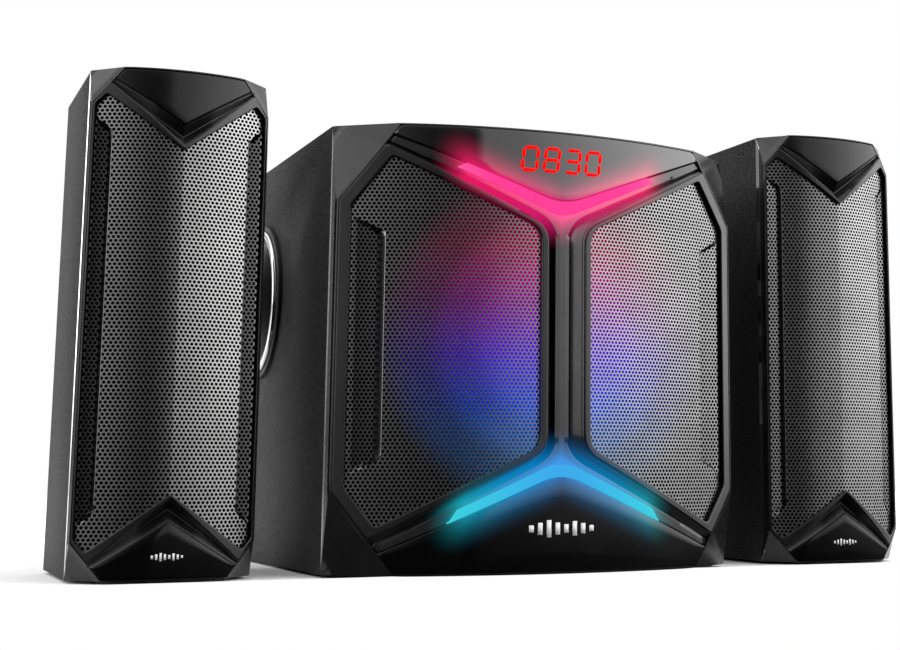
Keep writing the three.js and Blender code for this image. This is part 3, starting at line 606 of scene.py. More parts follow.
def film_material():
    """Light inside the subwoofer as it shows through the perforated sheets."""
    graph = matt("glow_ring", 0.8, 0.05, 0.3, (0.002,) * 3, (0.004,) * 3)
    return graph.glow(inner_glow(graph, 1.05), 1.0)


def steel_material():
    graph = Graph("bare_steel", 0.35, metallic=1.0)
    graph.colour(graph.noise(0.2, stretch=(1, 1, 8)), (0.3, 0.3, 0.31), (0.45, 0.45, 0.46))
    return graph.rough(graph.noise(0.8), 0.3, 0.48)


def plain(name, dark, light, roughness, bump=0.1, scale=1.5, metallic=0.0):
    spread = (roughness - 0.06, roughness + 0.06)
    graph = surface(name, (dark, light), roughness, spread, (scale / 10, scale), metallic=metallic)
    return graph.bump(graph.noise(scale * 2), bump, 0.06)


def grey(level):
    return (level, level, level * 1.03)


BLACK = (0.002, 0.002, 0.0022), (0.004, 0.004, 0.0045)
# Darker black for the dimmed copies of the gloss panel, which paint shade on the lower panels and the
# satellites' top panels.
SHADED_BLACK = (0.0015, 0.0015, 0.0016), (0.003, 0.003, 0.0032)
TRIM_BLACK = (0.01, 0.01, 0.011), (0.016, 0.016, 0.017)
# Grey of the bright metal bar that paints the highlight on the satellites' side walls.
HIGHLIGHT_GREY = (0.4, 0.4, 0.41), (0.46, 0.46, 0.47)
CHROME = (0.72, 0.72, 0.74), (0.8, 0.8, 0.82)
PINKS = [(0, PINK), (40, PINK), (62, linear(255, 90, 165))]
CYANS = [(0, linear(59, 168, 238)), (14, linear(57, 176, 236)), (62, linear(56, 213, 224))]

GRAPHS = [
    wrap_material(),
    moulding_material(),
    halo(surface("gloss_panel", BLACK, 0.06, (0.045, 0.085), coat=0.6), 1.0),
    halo(surface("gloss_trim", TRIM_BLACK, 0.22, (0.18, 0.27), (0.03, 0.3), coat=0.2, specular=0.42), 1.2),
    sheet_material("grille_metal", 0.24),
    bar_material("pink_light", (0.06, 0.01, 0.03), (0.08, 0.01, 0.04), PINKS, 0.95),
    bar_material("cyan_light", (0.01, 0.04, 0.06), (0.01, 0.05, 0.08), CYANS, 0.92),
    matt("display_red", 0.6, 0.05, 0.5, (0.05, 0, 0), (0.08, 0, 0)).glow(linear(255, 2, 1), 1.3),
    # Printed mark; its faint glow is a painted highlight that keeps it bright.
    matt("panel_mark", 0.4, 0.5, 0.8, (0.6,) * 3, (0.7,) * 3).glow(linear(150, 150, 155), 0.25),
    film_material(),
    # Darker copies of the grille metal: painted shade on the pressed recesses and folds.
    sheet_material("grille_shaded", 0.07),
    sheet_material("grille_dim", 0.16),
    sheet_material("grille_sub", 0.19),
    slope_material("left"),
    slope_material("right"),
    # Dimmed copies of the gloss panel as painted shade: a darker, less reflective one on the lower panels,
    # and a darker, rougher one on the satellites' top panels.
    halo(surface("gloss_shaded_lower", SHADED_BLACK, 0.07, (0.05, 0.09), specular=0.25), 0.85),
    surface("gloss_soft", SHADED_BLACK, 0.2, (0.17, 0.23), specular=0.3),
    # Bright metal of the side-wall bars: a painted highlight.
    surface("highlight_band", HIGHLIGHT_GREY, 0.07, (0.05, 0.09), metallic=1.0),
    # Near-black sheet behind the satellites' grilles: painted shade for the dark inside of the cabinets.
    matt("dust_cloth", 0.9, 0.02, 1.4, (0.0015,) * 3, (0.003,) * 3),
    surface("chrome_trim", CHROME, 0.07, (0.05, 0.1), (0.1, 0.4), 3, metallic=1.0),
    steel_material(),
    plain("circuit_board", (0.004, 0.04, 0.012), (0.008, 0.07, 0.02), 0.4),
    plain("rubber_black", grey(0.012), grey(0.02), 0.75, bump=0.25),
    plain("cone_paper", grey(0.018), grey(0.03), 0.8, bump=0.4, scale=2.2),
    plain("black_metal", grey(0.02), grey(0.03), 0.42, bump=0.18, metallic=0.3),
    plain("control_black", grey(0.016), grey(0.024), 0.4),
    plain("black_plastic", grey(0.014), grey(0.022), 0.45, bump=0.2),
]
MATERIALS = {graph.name: graph.material for graph in GRAPHS}

# ---- subwoofer front ----


def mirror_rows(rows):
    return [[(-x, depth, z) for x, depth, z in row] for row in rows]


def window_ring(unit, window, outer, walls, radius=0.6):
    """Surround of a grille window: a strip from the window's edge to the moulding's outer line."""
    lines = zip(rounded(window, 22), rounded(outer, 22))
    return [rolled_row(p, q, unit.lip, radius, walls, count=8) for p, q in lines]


def wing_outer():
    """Outer line of the right-hand surround, a hair inside the corner creases."""
    side = SUB.edge - 1.25
    top, fall = SUB.diagonal(1.25)
    z = top - fall * side
    upper, lower = SUB.meet(LINES[1]["lip"], 1.25, 1), SUB.meet(LINES[-1]["lip"], 1.25, -1)
    middle = [LINES[end]["lip"](CHANNEL_HALF) for end in (1, -1)]
    return [
        (*upper, 1), (side, z, 1), (side, SUB.height - z, 1), (*lower, 1),
        (CHANNEL_HALF, middle[1], 9), (CHANNEL_HALF, middle[0], 9),
    ]


def octagon(unit, inset):
    """Points round the front's edge, edge by edge, each edge with both its ends."""
    corners = unit.crease(inset)
    edges = zip(corners, corners[1:] + corners[:1])
    return [[between(a, b, k / EDGE_POINTS) for k in range(EDGE_POINTS + 1)] for a, b in edges]


def back_point(unit, edge, point):
    """Where the cabinet's front plane meets the moulding behind a point of the edge."""
    x, z = point
    if edge % 4 != 3:  # top and bottom keep their x
        x = math.copysign(unit.half, x)
    if edge % 4 != 1:  # the sides keep their z
        z = unit.height if z > unit.height / 2 else 0
    return x, z


def rim_rows(unit, surface, reach):
    """Rolled edge of the front and the moulding's sides behind it, once round the octagon."""
    loops = [octagon(unit, inset * reach) for inset in (1.0, 0.62, 0.3, 0.09, 0.0)]
    drops = [drop * reach for drop in (0.0, 0.02, 0.1, 0.32, 0.75)]
    rows = []
    for edge in range(8):
        for k in range(EDGE_POINTS + 1):
            row = []
            for loop, drop in zip(loops, drops):
                x, z = loop[edge][k]
                if not row:
                    row.append((x, surface(x, z) - 2.4, z))
                row.append((x, surface(x, z) - drop, z))
            outer = loops[-1][edge][k]
            back = back_point(unit, edge, outer)
            front = row[-1][1]
            for t in (0.25, 0.5, 0.75, 0.97):
                x, z = between(outer, back, t)
                row.append((x, front * (1 - t), z))
            rows.append(row)
    return rows


def sub_surface(x, z):
    upper, lower = LINES[1]["lip"](x), LINES[-1]["lip"](x)
    return SUB.lip(x) if lower <= z <= upper else SUB.face(x)


def sub_moulding():
    shell = Shell(SUB)
    ring = window_ring(SUB, SUB_WINDOW, wing_outer(), walls=(3.6, 2.4))
    shell.strip(ring, closed=True)
    shell.strip(mirror_rows(ring), closed=True)
    shell.strip(rim_rows(SUB, sub_surface, 1.0), closed=True)
    shell.piece("sub_moulding", "satin_moulding", replaces="sub_front_frame", thickness=1.4)


PANEL_STEPS = 72


def panel_rows(unit, line, limit, end, gap=0.1, inset=1.15):
    """Rows of an inset panel from its chevron edge to the front's own edge."""
    rows = []
    for k in range(PANEL_STEPS + 1):
        x = limit * (2 * k / PANEL_STEPS - 1)
        near = line(x) + end * gap
        far = unit.outer_end(x, inset, end)
        if end * (far - near) < 0.02:
            far = near + end * 0.02
        rows.append(rolled_row((x, near), (x, far), unit.face, ROLL, (2.3, 2.3), count=4))
    return rows


def sub_panels():
    for end, place in ((1, "top"), (-1, "bottom")):
        limit = SUB.meet(LINES[end]["panel"], TRIM_INSET, end)[0] - 0.3
        shell = Shell(SUB).strip(panel_rows(SUB, LINES[end]["panel"], limit, end))
        # The lower panel takes the dimmed copy: painted shade.
        look = "gloss_panel" if end > 0 else "gloss_shaded_lower"
        shell.piece(f"sub_{place}_gloss", look, "gloss_panel", f"sub_{place}_panel", thickness=1.5)


def channel_path(end):
    """Stations of a channel's right half as (panel edge or middle, rib edge, lip edge, channel depth)."""
    panel, rib_line, lip_line = (LINES[end][name] for name in ("panel", "rib", "lip"))
    rib_corner, lip_corner = rib_line(RIB_HALF), lip_line(CHANNEL_HALF)
    rib_start, lip_start = rib_corner - end * 12, lip_corner - end * 8
    path = []
    for k in range(16):
        rib_z, lip_z = (FORK + (start - FORK) * (k / 16) for start in (rib_start, lip_start))
        path.append(((0, rib_z), (RIB_HALF, rib_z), (CHANNEL_HALF, lip_z), 9.0))
    bends = (12.2, 15, 19)  # x where the arms' straight parts begin
    for k in range(13):
        t = k / 12
        rib = bezier((RIB_HALF, rib_start), (RIB_HALF, rib_corner), (bends[1], rib_line(bends[1])), t)
        lip = bezier((CHANNEL_HALF, lip_start), (CHANNEL_HALF, lip_corner), (bends[2], lip_line(bends[2])), t)
        x = bends[0] * max(0, 2 * t - 1)
        near = panel(x) - end * GAP
        path.append(((x, rib_start + (near - rib_start) * min(1, 2 * t)), rib, lip, 9.0))
    limits = [SUB.meet(line, TRIM_INSET, end)[0] for line in (panel, rib_line, lip_line)]
    for k in range(1, 33):
        t = k / 32
        p, r, q = (start + (limit - start) * t for start, limit in zip(bends, limits))
        path.append(((p, panel(p) - end * GAP), (r, rib_line(r)), (q, lip_line(q)), 9 - 5.8 * t))
    return path


RIGHT_DEPTH = 3.4  # the right-hand channel is shallow all along


def channel_row(middle, rib, lip, deep, side):
    """Across one half of the trim: rib, rolled edge, wall, and the floor that slopes up to the lip."""
    def top(x):
        return SUB.face(x) - RIB_DROP

    points = []
    for t in (0, 0.15, 0.35, 0.55, 0.75, 0.9):
        x, z = between(middle, rib, t)
        points.append((x, top(x), z))
    toward = (Vector(lip) - Vector(rib)).normalized()
    for angle in (0, 22.5, 45, 67.5, 90):
        a = math.radians(angle)
        x, z = Vector(rib) - toward * ROLL * (1 - math.sin(a))
        points.append((x, top(x) - ROLL * (1 - math.cos(a)), z))
    base = SUB.face(rib[0]) - (min(deep, RIGHT_DEPTH) if side > 0 else deep)
    points.append((rib[0], base + 0.5, rib[1]))
    x, z = Vector(rib) + toward * 0.5
    points.append((x, base + 0.05, z))
    high = SUB.lip(lip[0]) - 1.0
    for t in (0.3, 0.55, 0.8, 0.97):
        x, z = between(rib, lip, t)
        points.append((x, base + (high - base) * t, z))
    tuck = 0 if abs(toward.y) < 0.3 else math.copysign(0.1, toward.y)
    points += [(lip[0] - 0.1, high - drop, lip[1] - tuck) for drop in (0.4, 2.2)]
    return [(side * x, depth, z) for x, depth, z in points]


def sub_trim():
    shell = Shell(SUB)
    for side in (-1, 1):
        for end in (-1, 1):
            shell.strip([channel_row(*station, side) for station in channel_path(end)])
    shell.piece("sub_trim", "gloss_trim", "gloss_panel", "sub_centre_trim", sharp=40)


def light_bars():
    for end, place, look in ((1, "top", "pink_light"), (-1, "bottom", "cyan_light")):
        lines = LINES[end]
        upper_end, lower_end = lines["bar_ends"]
        rows = []
        for k in range(73):
            t = 2 * k / 72 - 1
            low, high = lower_end * t, upper_end * t
            p, q = (low, lines["bar_lower"](low)), (high, lines["bar_upper"](high))
            rows.append(rolled_row(p, q, lambda x: SUB.face(x) - 0.5, walls=(1.6, 1.6), count=3))
        shell = Shell(SUB).strip(rows)
        shell.piece(f"sub_{place}_strip", look, replaces=f"sub_{place}_light", thickness=1.0, sharp=60)


# ---- satellite fronts ----

PANEL_DOWN = chevron(28.7, -0.63)
VALLEY_DOWN = chevron(34.8, -0.71)
LIP_DOWN = chevron(41, -0.88)
VALLEY_DEEP = 4.6


def satellite_outline(*quarter):
    """Outline from its upper right quarter's corners: (x, distance below the top, tangent length)."""
    height = SATELLITES["left"].height
    half = [(x, height - down, t) for x, down, t in quarter] + list(reversed(quarter))
    return half + [(-x, z, t) for x, z, t in half[-2:0:-1]]


SAT_WINDOW = satellite_outline((0, 42.6, 1.5), (38.9, 13.8, 2.2), (44.3, 19.8, 2))


def satellite_surface(unit):
    def surface(x, z):
        down = min(z, unit.height - z)
        return unit.lip(x) if down >= LIP_DOWN(x) else unit.face(x)
    return surface


def satellite_v(unit, end):
    """Rows across the V trim: over the lip's edge, down the slope to the valley and up to the panel."""
    rows = []
    for k in range(61):
        x = 37.3 * (2 * k / 60 - 1)
        a = abs(x)
        lip, valley, panel = LIP_DOWN(a), VALLEY_DOWN(a), PANEL_DOWN(a)
        shut = min(max((a - 34.5) / 2.8, 0), 1)
        deep = VALLEY_DEEP * (1 - 0.55 * shut)
        valley = lip + (valley - lip) * (1 - 0.3 * shut)
        panel = max(panel, 6.4) if a > 35.4 else panel
        panel = min(panel, valley - 0.3)
        edge, front = unit.lip(x), unit.face(x)
        floor = front - deep
        downs = [
            (lip + 0.05, edge - 0.8), (lip - 0.35, edge - 1.0),
            ((lip + valley) / 2, (edge - 1.0 + front - deep) / 2),
            (valley + 0.25, floor + 0.06), (valley - 0.25, floor + 0.06),
            (panel + 0.45, front - 0.55), (panel + 0.1, front - 0.35),
            (panel, front - 0.7), (panel, front - 2.6),
        ]
        rows.append([(x, depth, unit.height - d if end > 0 else d) for d, depth in downs])
    return rows


def satellite_front(side):
    unit = SATELLITES[side]
    shell = Shell(unit)
    outer = satellite_outline((0, 41, 1.5), (37.2, 8.5, 1), (unit.edge - 0.8, 18.9, 1))
    ring = window_ring(unit, SAT_WINDOW, outer, walls=(3.2, 0.9), radius=0.5)
    shell.strip(ring, closed=True)
    shell.strip(rim_rows(unit, satellite_surface(unit), 0.55), closed=True)
    frame_node = f"{side}_front_frame"
    shell.piece(f"{side}_moulding", "satin_moulding", replaces=frame_node)
    slopes = Shell(unit).strip(satellite_v(unit, 1)).strip(satellite_v(unit, -1))
    slopes.piece(f"{side}_slopes", f"{side}_slope", "satin_moulding", thickness=1.0)
    for end, place in ((1, "top"), (-1, "bottom")):
        line = (lambda x: unit.height - PANEL_DOWN(x)) if end > 0 else PANEL_DOWN
        panel = Shell(unit).strip(panel_rows(unit, line, 34.6, end, gap=0.2, inset=1.1))
        # The top panels take the softer, darker copy and the bottom ones the dimmed copy: painted shade.
        look = "gloss_soft" if end > 0 else "gloss_shaded_lower"
        panel.piece(f"{side}_{place}_gloss", look, "gloss_panel", f"{side}_{place}_panel", thickness=1.3)


def highlight_band(unit, name):
    """Thin bright metal bar on each of a moulding's side walls, beside the cabinet: a painted highlight that
    stands in for the streak of light along those walls.
    """
    shell = Shell(unit)
    corner = max(z for x, z in unit.crease(0) if abs(x) > unit.edge - 0.1)
    depth = unit.lip(unit.edge)
    front, back = 0.4, 0.02
    for sign in (-1, 1):
        first = len(shell.points)
        for end in (1, -1):
            for x, share in ((0.02, front), (0.06, back), (-0.3, back), (-0.3, front)):
                up = corner + (unit.height - corner) * (1 - share)
                z = up if end > 0 else unit.height - up
                shell.points.append((sign * (unit.half + x), depth * share, z))
        for k in range(4):
            a, b = first + k, first + (k + 1) % 4
            shell.faces.append((a, b, b + 4, a + 4))
        shell.faces += [tuple(range(first, first + 4)), tuple(range(first + 4, first + 8))]
    shell.piece(name, "highlight_band", "gloss_panel", thickness=0)


# ---- perforated grilles ----


def inside(px, pz, corners):
    """Whether each point lies inside a polygon."""
    hit = np.zeros(len(px), bool)
    for (ax, az), (bx, bz) in zip(corners, corners[1:] + corners[:1]):
        crosses = (az > pz) != (bz > pz)
        at = ax + (pz - az) * (bx - ax) / (bz - az if bz != az else 1e-12)
        hit ^= crosses & (px < at)
    return hit


def cells_within(corners):
    """Middles of the staggered cells inside an outline, as whole numbers of half pitches and rows."""
    xs, zs = [c[0] for c in corners], [c[1] for c in corners]
    columns = np.arange(int(min(xs) / HOLE_PITCH * 2) - 2, int(max(xs) / HOLE_PITCH * 2) + 3)
    rows = np.arange(int(min(zs) / HOLE_ROW) - 1, int(max(zs) / HOLE_ROW) + 2)
    i, j = (a.ravel() for a in np.meshgrid(columns, rows))
    keep = (i + j) % 2 == 0
    i, j = i[keep], j[keep]
    keep = inside(i * HOLE_PITCH / 2, j * HOLE_ROW, [c[:2] for c in corners])
    return i[keep], j[keep]


def recess_depth(recess, px, pz):
    """How far the sheet is pressed in beside its outer edges."""
    x = np.abs(px)
    outer, inner, fold = (recess[key] for key in ("outer", "inner", "fold"))
    beyond, before = (outer - x) / (outer - fold), (x - inner) / (fold - inner)
    share = np.clip(np.where(x > fold, beyond, before), 0, 1)
    t = np.clip((x - inner) / (outer - inner), 0, 1)
    low, high = (near + (far - near) * t for near, far in zip(recess["inner_z"], recess["outer_z"]))
    ramp = np.clip(np.minimum(pz - low, high - pz) / RECESS_RAMP, 0, 1)
    return recess["depth"] * share * ramp


HOLE_SIDES = 8
# Triangles' fans between a cell's six corners and its hole's eight, as (corner, hole corner).
FAN = [
    (0, 7), (0, 0), (1, 0), (1, 1), (1, 2), (2, 2), (2, 3),
    (3, 3), (3, 4), (4, 4), (4, 5), (4, 6), (5, 6), (5, 7),
]


def perforated(name, unit, corners, recess, replaces, shaded, look="grille_metal"):
    """Sheet with staggered round holes, each in a six-sided cell shared with its neighbours."""
    i, j = cells_within(grown(corners, 1.3))
    limit = unit.half - 0.9  # keeps the sheet inside the moulding's side walls
    keep = np.abs(i * HOLE_PITCH / 2) <= limit - HOLE_PITCH / 2
    x, z = i[keep] * HOLE_PITCH / 2, j[keep] * HOLE_ROW
    half, low = HOLE_PITCH / 2, HOLE_ROW / 3
    cell = np.array([(0, 2 * low), (-half, low), (-half, -low), (0, -2 * low), (half, -low), (half, low)])
    angles = np.radians(90 + 22.5 + 45 * np.arange(HOLE_SIDES))
    hole = HOLE_RADIUS * np.c_[np.cos(angles), np.sin(angles)]
    count = len(x)
    middles = np.c_[x, z][:, None]
    keys = np.round((middles + cell).reshape(-1, 2) * 100).astype(np.int64)
    places, index = np.unique(keys, axis=0, return_inverse=True)
    index = index.reshape(count, 6)
    places = places / 100
    outermost = np.abs(places[:, 0]) > limit - 1.6
    places[outermost, 0] = np.sign(places[outermost, 0]) * limit
    flat = np.vstack([places, (middles + hole).reshape(-1, 2)])
    total = len(flat)
    first = len(places) + HOLE_SIDES * np.arange(count)
    face = []
    for (h0, c0), (h1, c1) in zip(FAN, FAN[1:] + FAN[:1]):
        third = index[:, h1] if h1 != h0 else first + c1
        face.append(np.c_[index[:, h0], first + c0, third])
    front = np.vstack(face)
    wall = np.vstack([np.c_[first + k, first + (k + 1) % HOLE_SIDES] for k in range(HOLE_SIDES)])
    edges = np.vstack([np.c_[index[:, k], index[:, (k + 1) % 6]] for k in range(6)])
    pairs, uses = np.unique(np.sort(edges, axis=1), axis=0, return_counts=True)
    single = {tuple(pair) for pair in pairs[uses == 1]}
    border = np.array([e for e in edges.tolist() if (min(e), max(e)) in single])
    depth = np.array([unit.lip(v) for v in flat[:, 0]]) - SHEET_BACK
    depth -= recess_depth(recess, flat[:, 0], flat[:, 1])
    points = np.vstack([
        np.c_[flat[:, 0], back - depth, flat[:, 1]] for back in (0, SHEET_THICK)
    ]) * MM + np.array(unit.origin)
    sides = (wall.T, border[:, ::-1].T)
    quads = np.vstack([np.c_[a, b, b + total, a + total] for a, b in sides])
    faces = [*front.tolist(), *(front[:, ::-1] + total).tolist(), *quads.tolist()]
    mesh = bpy.data.meshes.new(name)
    mesh.from_pydata(points.tolist(), [], faces)
    made = placed(name, mesh)
    for used in (look, "black_plastic", shaded):
        mesh.materials.append(MATERIALS[used])
    kinds = np.zeros(len(faces), np.int32)
    # Faces in the pressed recess take the shaded grey: painted shade in the recesses.
    pressed = recess_depth(recess, flat[front, 0], flat[front, 1]).max(axis=1) > 0.4
    kinds[:len(front)] = np.where(pressed, 2, 0)
    # The walls of the holes and round the sheet's edge take black plastic: painted shade inside the holes.
    kinds[2 * len(front):] = 1
    mesh.polygons.foreach_set("material_index", kinds)
    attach(made, unit.body)
    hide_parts(replaces)


def fold_strips(name, unit, recess, look):
    """Plain walls of the pressed recesses along their inner edges."""
    shell = Shell(unit)
    inner, fold = recess["inner"], recess["fold"]
    low, high = recess["inner_z"]
    front, deep = unit.lip(inner) - SHEET_BACK + 0.12, unit.lip(fold) - SHEET_BACK + 0.15
    for side in (-1, 1):
        rows = []
        for k in range(41):
            z = low + (high - low) * k / 40
            ramp = min((z - low) / RECESS_RAMP, (high - z) / RECESS_RAMP, 1)
            rows.append([(side * (inner - 0.3), front, z), (side * inner, front - 0.05, z),
                         (side * fold, deep - recess["depth"] * max(ramp, 0.02), z)])
        shell.strip(rows)
    shell.piece(name, look, "grille_metal", thickness=0.25)


SUB_WINDOWS = {"right": SUB_WINDOW, "left": mirrored(SUB_WINDOW)}


def grilles():
    """Sheets and folds; the greys of the recesses follow the light that each of them catches."""
    for side, shaded in (("right", "grille_sub"), ("left", "grille_shaded")):
        node = f"sub_grille_{side}"
        perforated(f"sub_{side}_mesh", SUB, SUB_WINDOWS[side], SUB_RECESS, node, shaded, "grille_sub")
    fold_strips("sub_folds", SUB, SUB_RECESS, "grille_sub")
    greys = {"left": ("grille_shaded", "grille_dim"), "right": ("grille_dim", "grille_shaded")}
    for side, (shaded, fold) in greys.items():
        unit = SATELLITES[side]
        perforated(f"{side}_mesh", unit, SAT_WINDOW, SAT_RECESS, f"{side}_grille", shaded)
        fold_strips(f"{side}_folds", unit, SAT_RECESS, fold)


def backing_sheet(unit, window, drop, name, look, slot):
    """Sheet behind a grille window that closes the view into the cabinet."""
    corners = [c[:2] for c in grown(window, 0.8)]
    left, right = (pick(c[0] for c in corners) for pick in (min, max))
    rows = []
    for k in range(25):
        x = left + 0.05 + (right - left - 0.1) * k / 24
        crossed = [az + (x - ax) * (bz - az) / (bx - ax)
                   for (ax, az), (bx, bz) in zip(corners, corners[1:] + corners[:1]) if (ax > x) != (bx > x)]
        low, high = min(crossed), max(crossed)
        rows.append([(x, unit.lip(x) - drop, low + (high - low) * j / 16) for j in range(17)])
    Shell(unit).strip(rows).piece(name, look, slot, thickness=0.3)


def backing():
    for side, window in SUB_WINDOWS.items():
        backing_sheet(SUB, window, 9.2, f"glow_film_{side}", "glow_ring", "glow_ring")
    for side, unit in SATELLITES.items():
        # The satellites' sheets are near black: painted shade for the dark inside.
        backing_sheet(unit, SAT_WINDOW, 7.6, f"{side}_cloth", "dust_cloth", "cone_paper")


# ---- display and marks ----

SEGMENTS = {"0": "abcdef", "3": "abgcd", "8": "abcdefg"}
CLOCK = dict(left=-24.5, base=217.2, width=8.2, height=12.6, pitch=12.6, half=0.9, slant=0.12)


def laid(outline, shell, lift):
    """Adds a flat face on the front surface."""
    first = len(shell.points)
    shell.points += [(x, shell.unit.face(x) + lift, z) for x, z in outline]
    shell.faces.append(tuple(range(first, first + len(outline))))


def flat_bar(shell, a, b, half, lift, slant, corner):
    """Thin bar from a to b with pointed ends, laid on the front surface."""
    a, b = Vector(a), Vector(b)
    along = (b - a).normalized()
    across = Vector((-along.y, along.x)) * half
    outline = [a, a + along * half + across, b - along * half + across, b,
               b - along * half - across, a + along * half - across]
    laid([(corner[0] + p.x + slant * p.y, corner[1] + p.y) for p in outline], shell, lift)


def digits(text, left, base, width, height, pitch, half, slant):
    shell = Shell(SUB)
    mid = height / 2
    spans = {
        "a": ((0, height), (width, height)), "b": ((width, height), (width, mid)),
        "c": ((width, mid), (width, 0)), "d": ((0, 0), (width, 0)), "e": ((0, mid), (0, 0)),
        "f": ((0, height), (0, mid)), "g": ((0, mid), (width, mid)),
    }
    for i, character in enumerate(text):
        for key in SEGMENTS[character]:
            a, b = (Vector(p) for p in spans[key])
            gap = (b - a).normalized() * half * 0.35
            flat_bar(shell, a + gap, b - gap, half, 0.16, slant, (left + i * pitch, base))
    shell.piece("clock_digits", "display_red", thickness=0.12)


def level_mark(name, unit, z, pitch, height):
    """Small printed row of level bars, all of one pitch."""
    shell = Shell(unit)
    for i, share in enumerate(LEVELS):
        x = (i - (len(LEVELS) - 1) / 2) * pitch
        half = pitch * 0.26
        low, high = z - height * share / 2, z + height * share / 2
        laid([(x - half, low), (x + half, low), (x + half, high), (x - half, high)], shell, 0.12)
    shell.piece(name, "panel_mark", "chrome_trim", thickness=0.08)


# ---- turned and refined pieces ----


def turned_pieces():
    face = -SUB.half
    flare = [(30.6, 16), (31, 10.5), (31.9, 5.5), (33.2, 2), (34.8, -0.4), (36.6, -1.5), (38.6, -2.1),
             (40.4, -2.35), (46.6, -2.4), (47, -2.0), (47, -0.3), (35.4, -0.3), (35, 16)]
    turned("port_mouth", "black_plastic", [(r, face + x) for r, x in flare], "port_flange")
    angles = [math.pi * (1 - k / 12) for k in range(13)]
    bead = [(42.6 + 1.95 * math.cos(a), face - 3.1 - 1.85 * math.sin(a)) for a in angles]
    turned("port_trim", "chrome_trim", [(40.8, face - 2.7), *bead, (44.4, face - 2.7)], "port_ring")
    tube = [(30.6, 16.3), (33.4, 16.3), (33.4, 92), (30.6, 92)]
    turned("port_pipe", "black_plastic", [(r, face + x) for r, x in tube], "port_tube")


REFINED = {
    "black_metal": "amp_plate heat_sink",
    "black_plastic": "mains_inlet switch_frame power_rocker output_jacks control_panel"
                     " left_input_jack right_input_jack",
    "control_black": "volume_knob treble_knob bass_knob button_previous button_play button_next",
}


def refined_pieces():
    for node in ("sub_cabinet", "left_cabinet", "right_cabinet"):
        refined(node, f"{node}_shell", "grained_wrap", 0.8, 3)
    for look, nodes in REFINED.items():
        for node in nodes.split():
            refined(node, f"{node}_fine", look, 0.35)
    for node in frame["nodes"]:
        if "_foot" in node:
            refined(node, f"{node}_pad", "rubber_black", 0.4)


def dress_cad_nodes():
    slots = {s["node"]: s["material_slot"] for s in frame["record"]["subparts"]}
    for node, shape in frame["nodes"].items():
        shape.data.materials.clear()
        shape.data.materials.append(MATERIALS[slots[node]])
        shape.data.shade_smooth()
        shape.data.set_sharp_from_angle(angle=math.radians(35))


# ---- camera, floor and light ----


def add_camera():
    camera = placed("camera", bpy.data.cameras.new("camera"))
    camera.location = (-0.3482, -0.9358, 0.0554)
    camera.rotation_euler = (math.radians(90 + 9.08), 0, math.radians(-25.3))
    camera.data.lens = 64
    camera.data.sensor_width = 36
    camera.data.shift_x, camera.data.shift_y = -0.18, -0.122
    camera.data.clip_start = 0.01
    bpy.context.scene.camera = camera


def add_floor():
    mesh = bpy.data.meshes.new("floor")
    mesh.from_pydata([(-3, -0.1, 0), (3, -0.1, 0), (3, 3, 0), (-3, 3, 0)], [], [(0, 1, 2, 3)])
    floor = placed("floor", mesh)
    paint = bpy.data.materials.new("floor_white")
    paint.use_nodes = True
    shader = paint.node_tree.nodes["Principled BSDF"]
    shader.inputs["Base Color"].default_value = (0.92, 0.92, 0.92, 1)
    shader.inputs["Roughness"].default_value = 0.9
    shader.inputs["Specular IOR Level"].default_value = 0.1
    mesh.materials.append(paint)


# Brightness of the room by direction: degrees from the front towards the right.
ROOM = [
    (-180, 0.5), (-174.5, 0.5), (-173, 3.4), (-170.5, 3.4), (-169, 0.5), (-162, 0.6), (-150, 0.4),
    (-125, 0.4), (-105, 3.6), (-75, 3.6), (-58, 1.3), (-40, 1.0), (-28, 0.35), (-14, 0.08), (-0.3, 0.08),
    (0.7, 1.3), (12, 1.5), (57, 4.5), (80, 4.5), (110, 1.2), (180, 0.5),
]
ROOM_TOP = 5.0  # the brightness that the ramp's white stands for
CEILING = 1.6
FLOOR_SHARE = 0.03


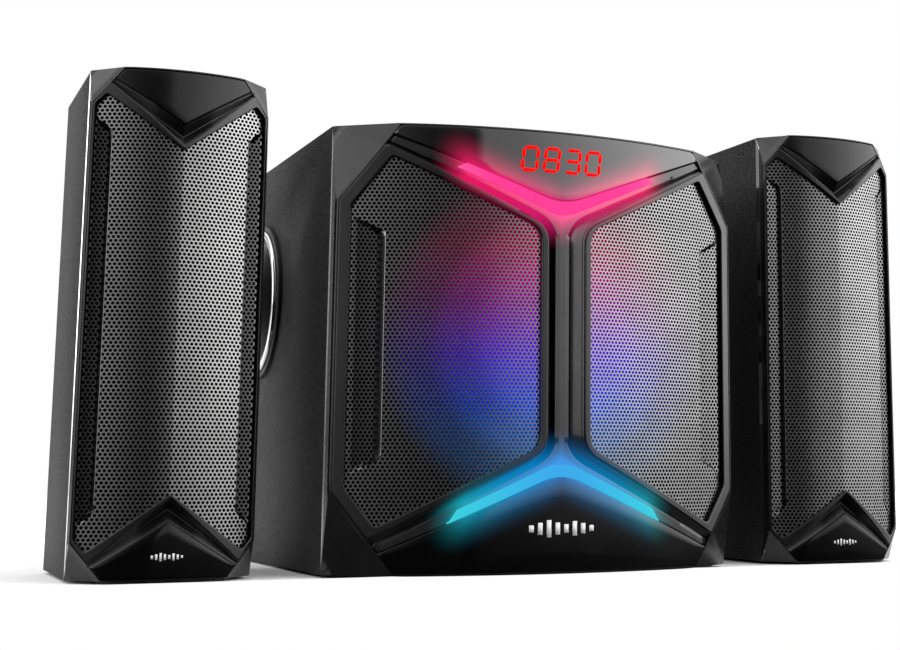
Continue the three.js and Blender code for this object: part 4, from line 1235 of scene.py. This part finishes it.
def add_world():
    """Studio light: bright on both sides, dark in front, with one narrow bright sector behind."""
    world = bpy.data.worlds.new("studio")
    bpy.context.scene.world = world
    world.use_nodes = True
    studio = Tree(world.node_tree)
    studio.tree.nodes.clear()
    calc = studio.math
    parts = studio.node("ShaderNodeSeparateXYZ")
    studio.feed(parts.inputs[0], studio.node("ShaderNodeTexCoord").outputs["Generated"])
    x, y, z = parts.outputs
    azimuth = calc("ARCTAN2", x, calc("MULTIPLY", y, -1.0))
    degrees = calc("MULTIPLY", azimuth, 180 / math.pi)
    turn = calc("DIVIDE", calc("ADD", degrees, 180.0), 360.0)
    places = [(place + 180) / 360 for place, _ in ROOM]
    ramp = studio.shades(turn, places, [(value / ROOM_TOP,) * 3 for _, value in ROOM])
    around = calc("MULTIPLY", ramp, ROOM_TOP)
    rise = calc("POWER", calc("MINIMUM", calc("MAXIMUM", z, 0.0), 1.0), 2.5)
    sky = calc("ADD", calc("MULTIPLY", around, calc("SUBTRACT", 1.0, rise)), calc("MULTIPLY", rise, CEILING))
    below = calc("MULTIPLY", around, FLOOR_SHARE)
    lift = calc("MINIMUM", calc("MAXIMUM", calc("DIVIDE", calc("ADD", z, 0.05), 0.12), 0.0), 1.0)
    level = calc("ADD", calc("MULTIPLY", sky, lift), calc("MULTIPLY", below, calc("SUBTRACT", 1.0, lift)))
    # The camera itself sees plain white.
    seen = studio.node("ShaderNodeLightPath").outputs["Is Camera Ray"]
    mixed = calc("ADD", calc("MULTIPLY", seen, 1.0), calc("MULTIPLY", calc("SUBTRACT", 1.0, seen), level))
    light = studio.step("ShaderNodeBackground", {"Color": (1, 1, 1), "Strength": mixed})
    studio.feed(studio.node("ShaderNodeOutputWorld").inputs[0], light)


add_camera()
bpy.context.scene.view_settings.view_transform = "Standard"
add_world()
add_floor()
dress_cad_nodes()
sub_moulding()
sub_panels()
sub_trim()
light_bars()
for side, unit in SATELLITES.items():
    satellite_front(side)
for side, unit in SATELLITES.items():
    highlight_band(unit, f"{side}_band")
grilles()
backing()
digits("0830", **CLOCK)
for side, unit in SATELLITES.items():
    level_mark(f"{side}_mark", unit, 11.5, 2.1, 4)
level_mark("sub_mark", SUB, 23.5, 5, 9)
turned_pieces()
refined_pieces()
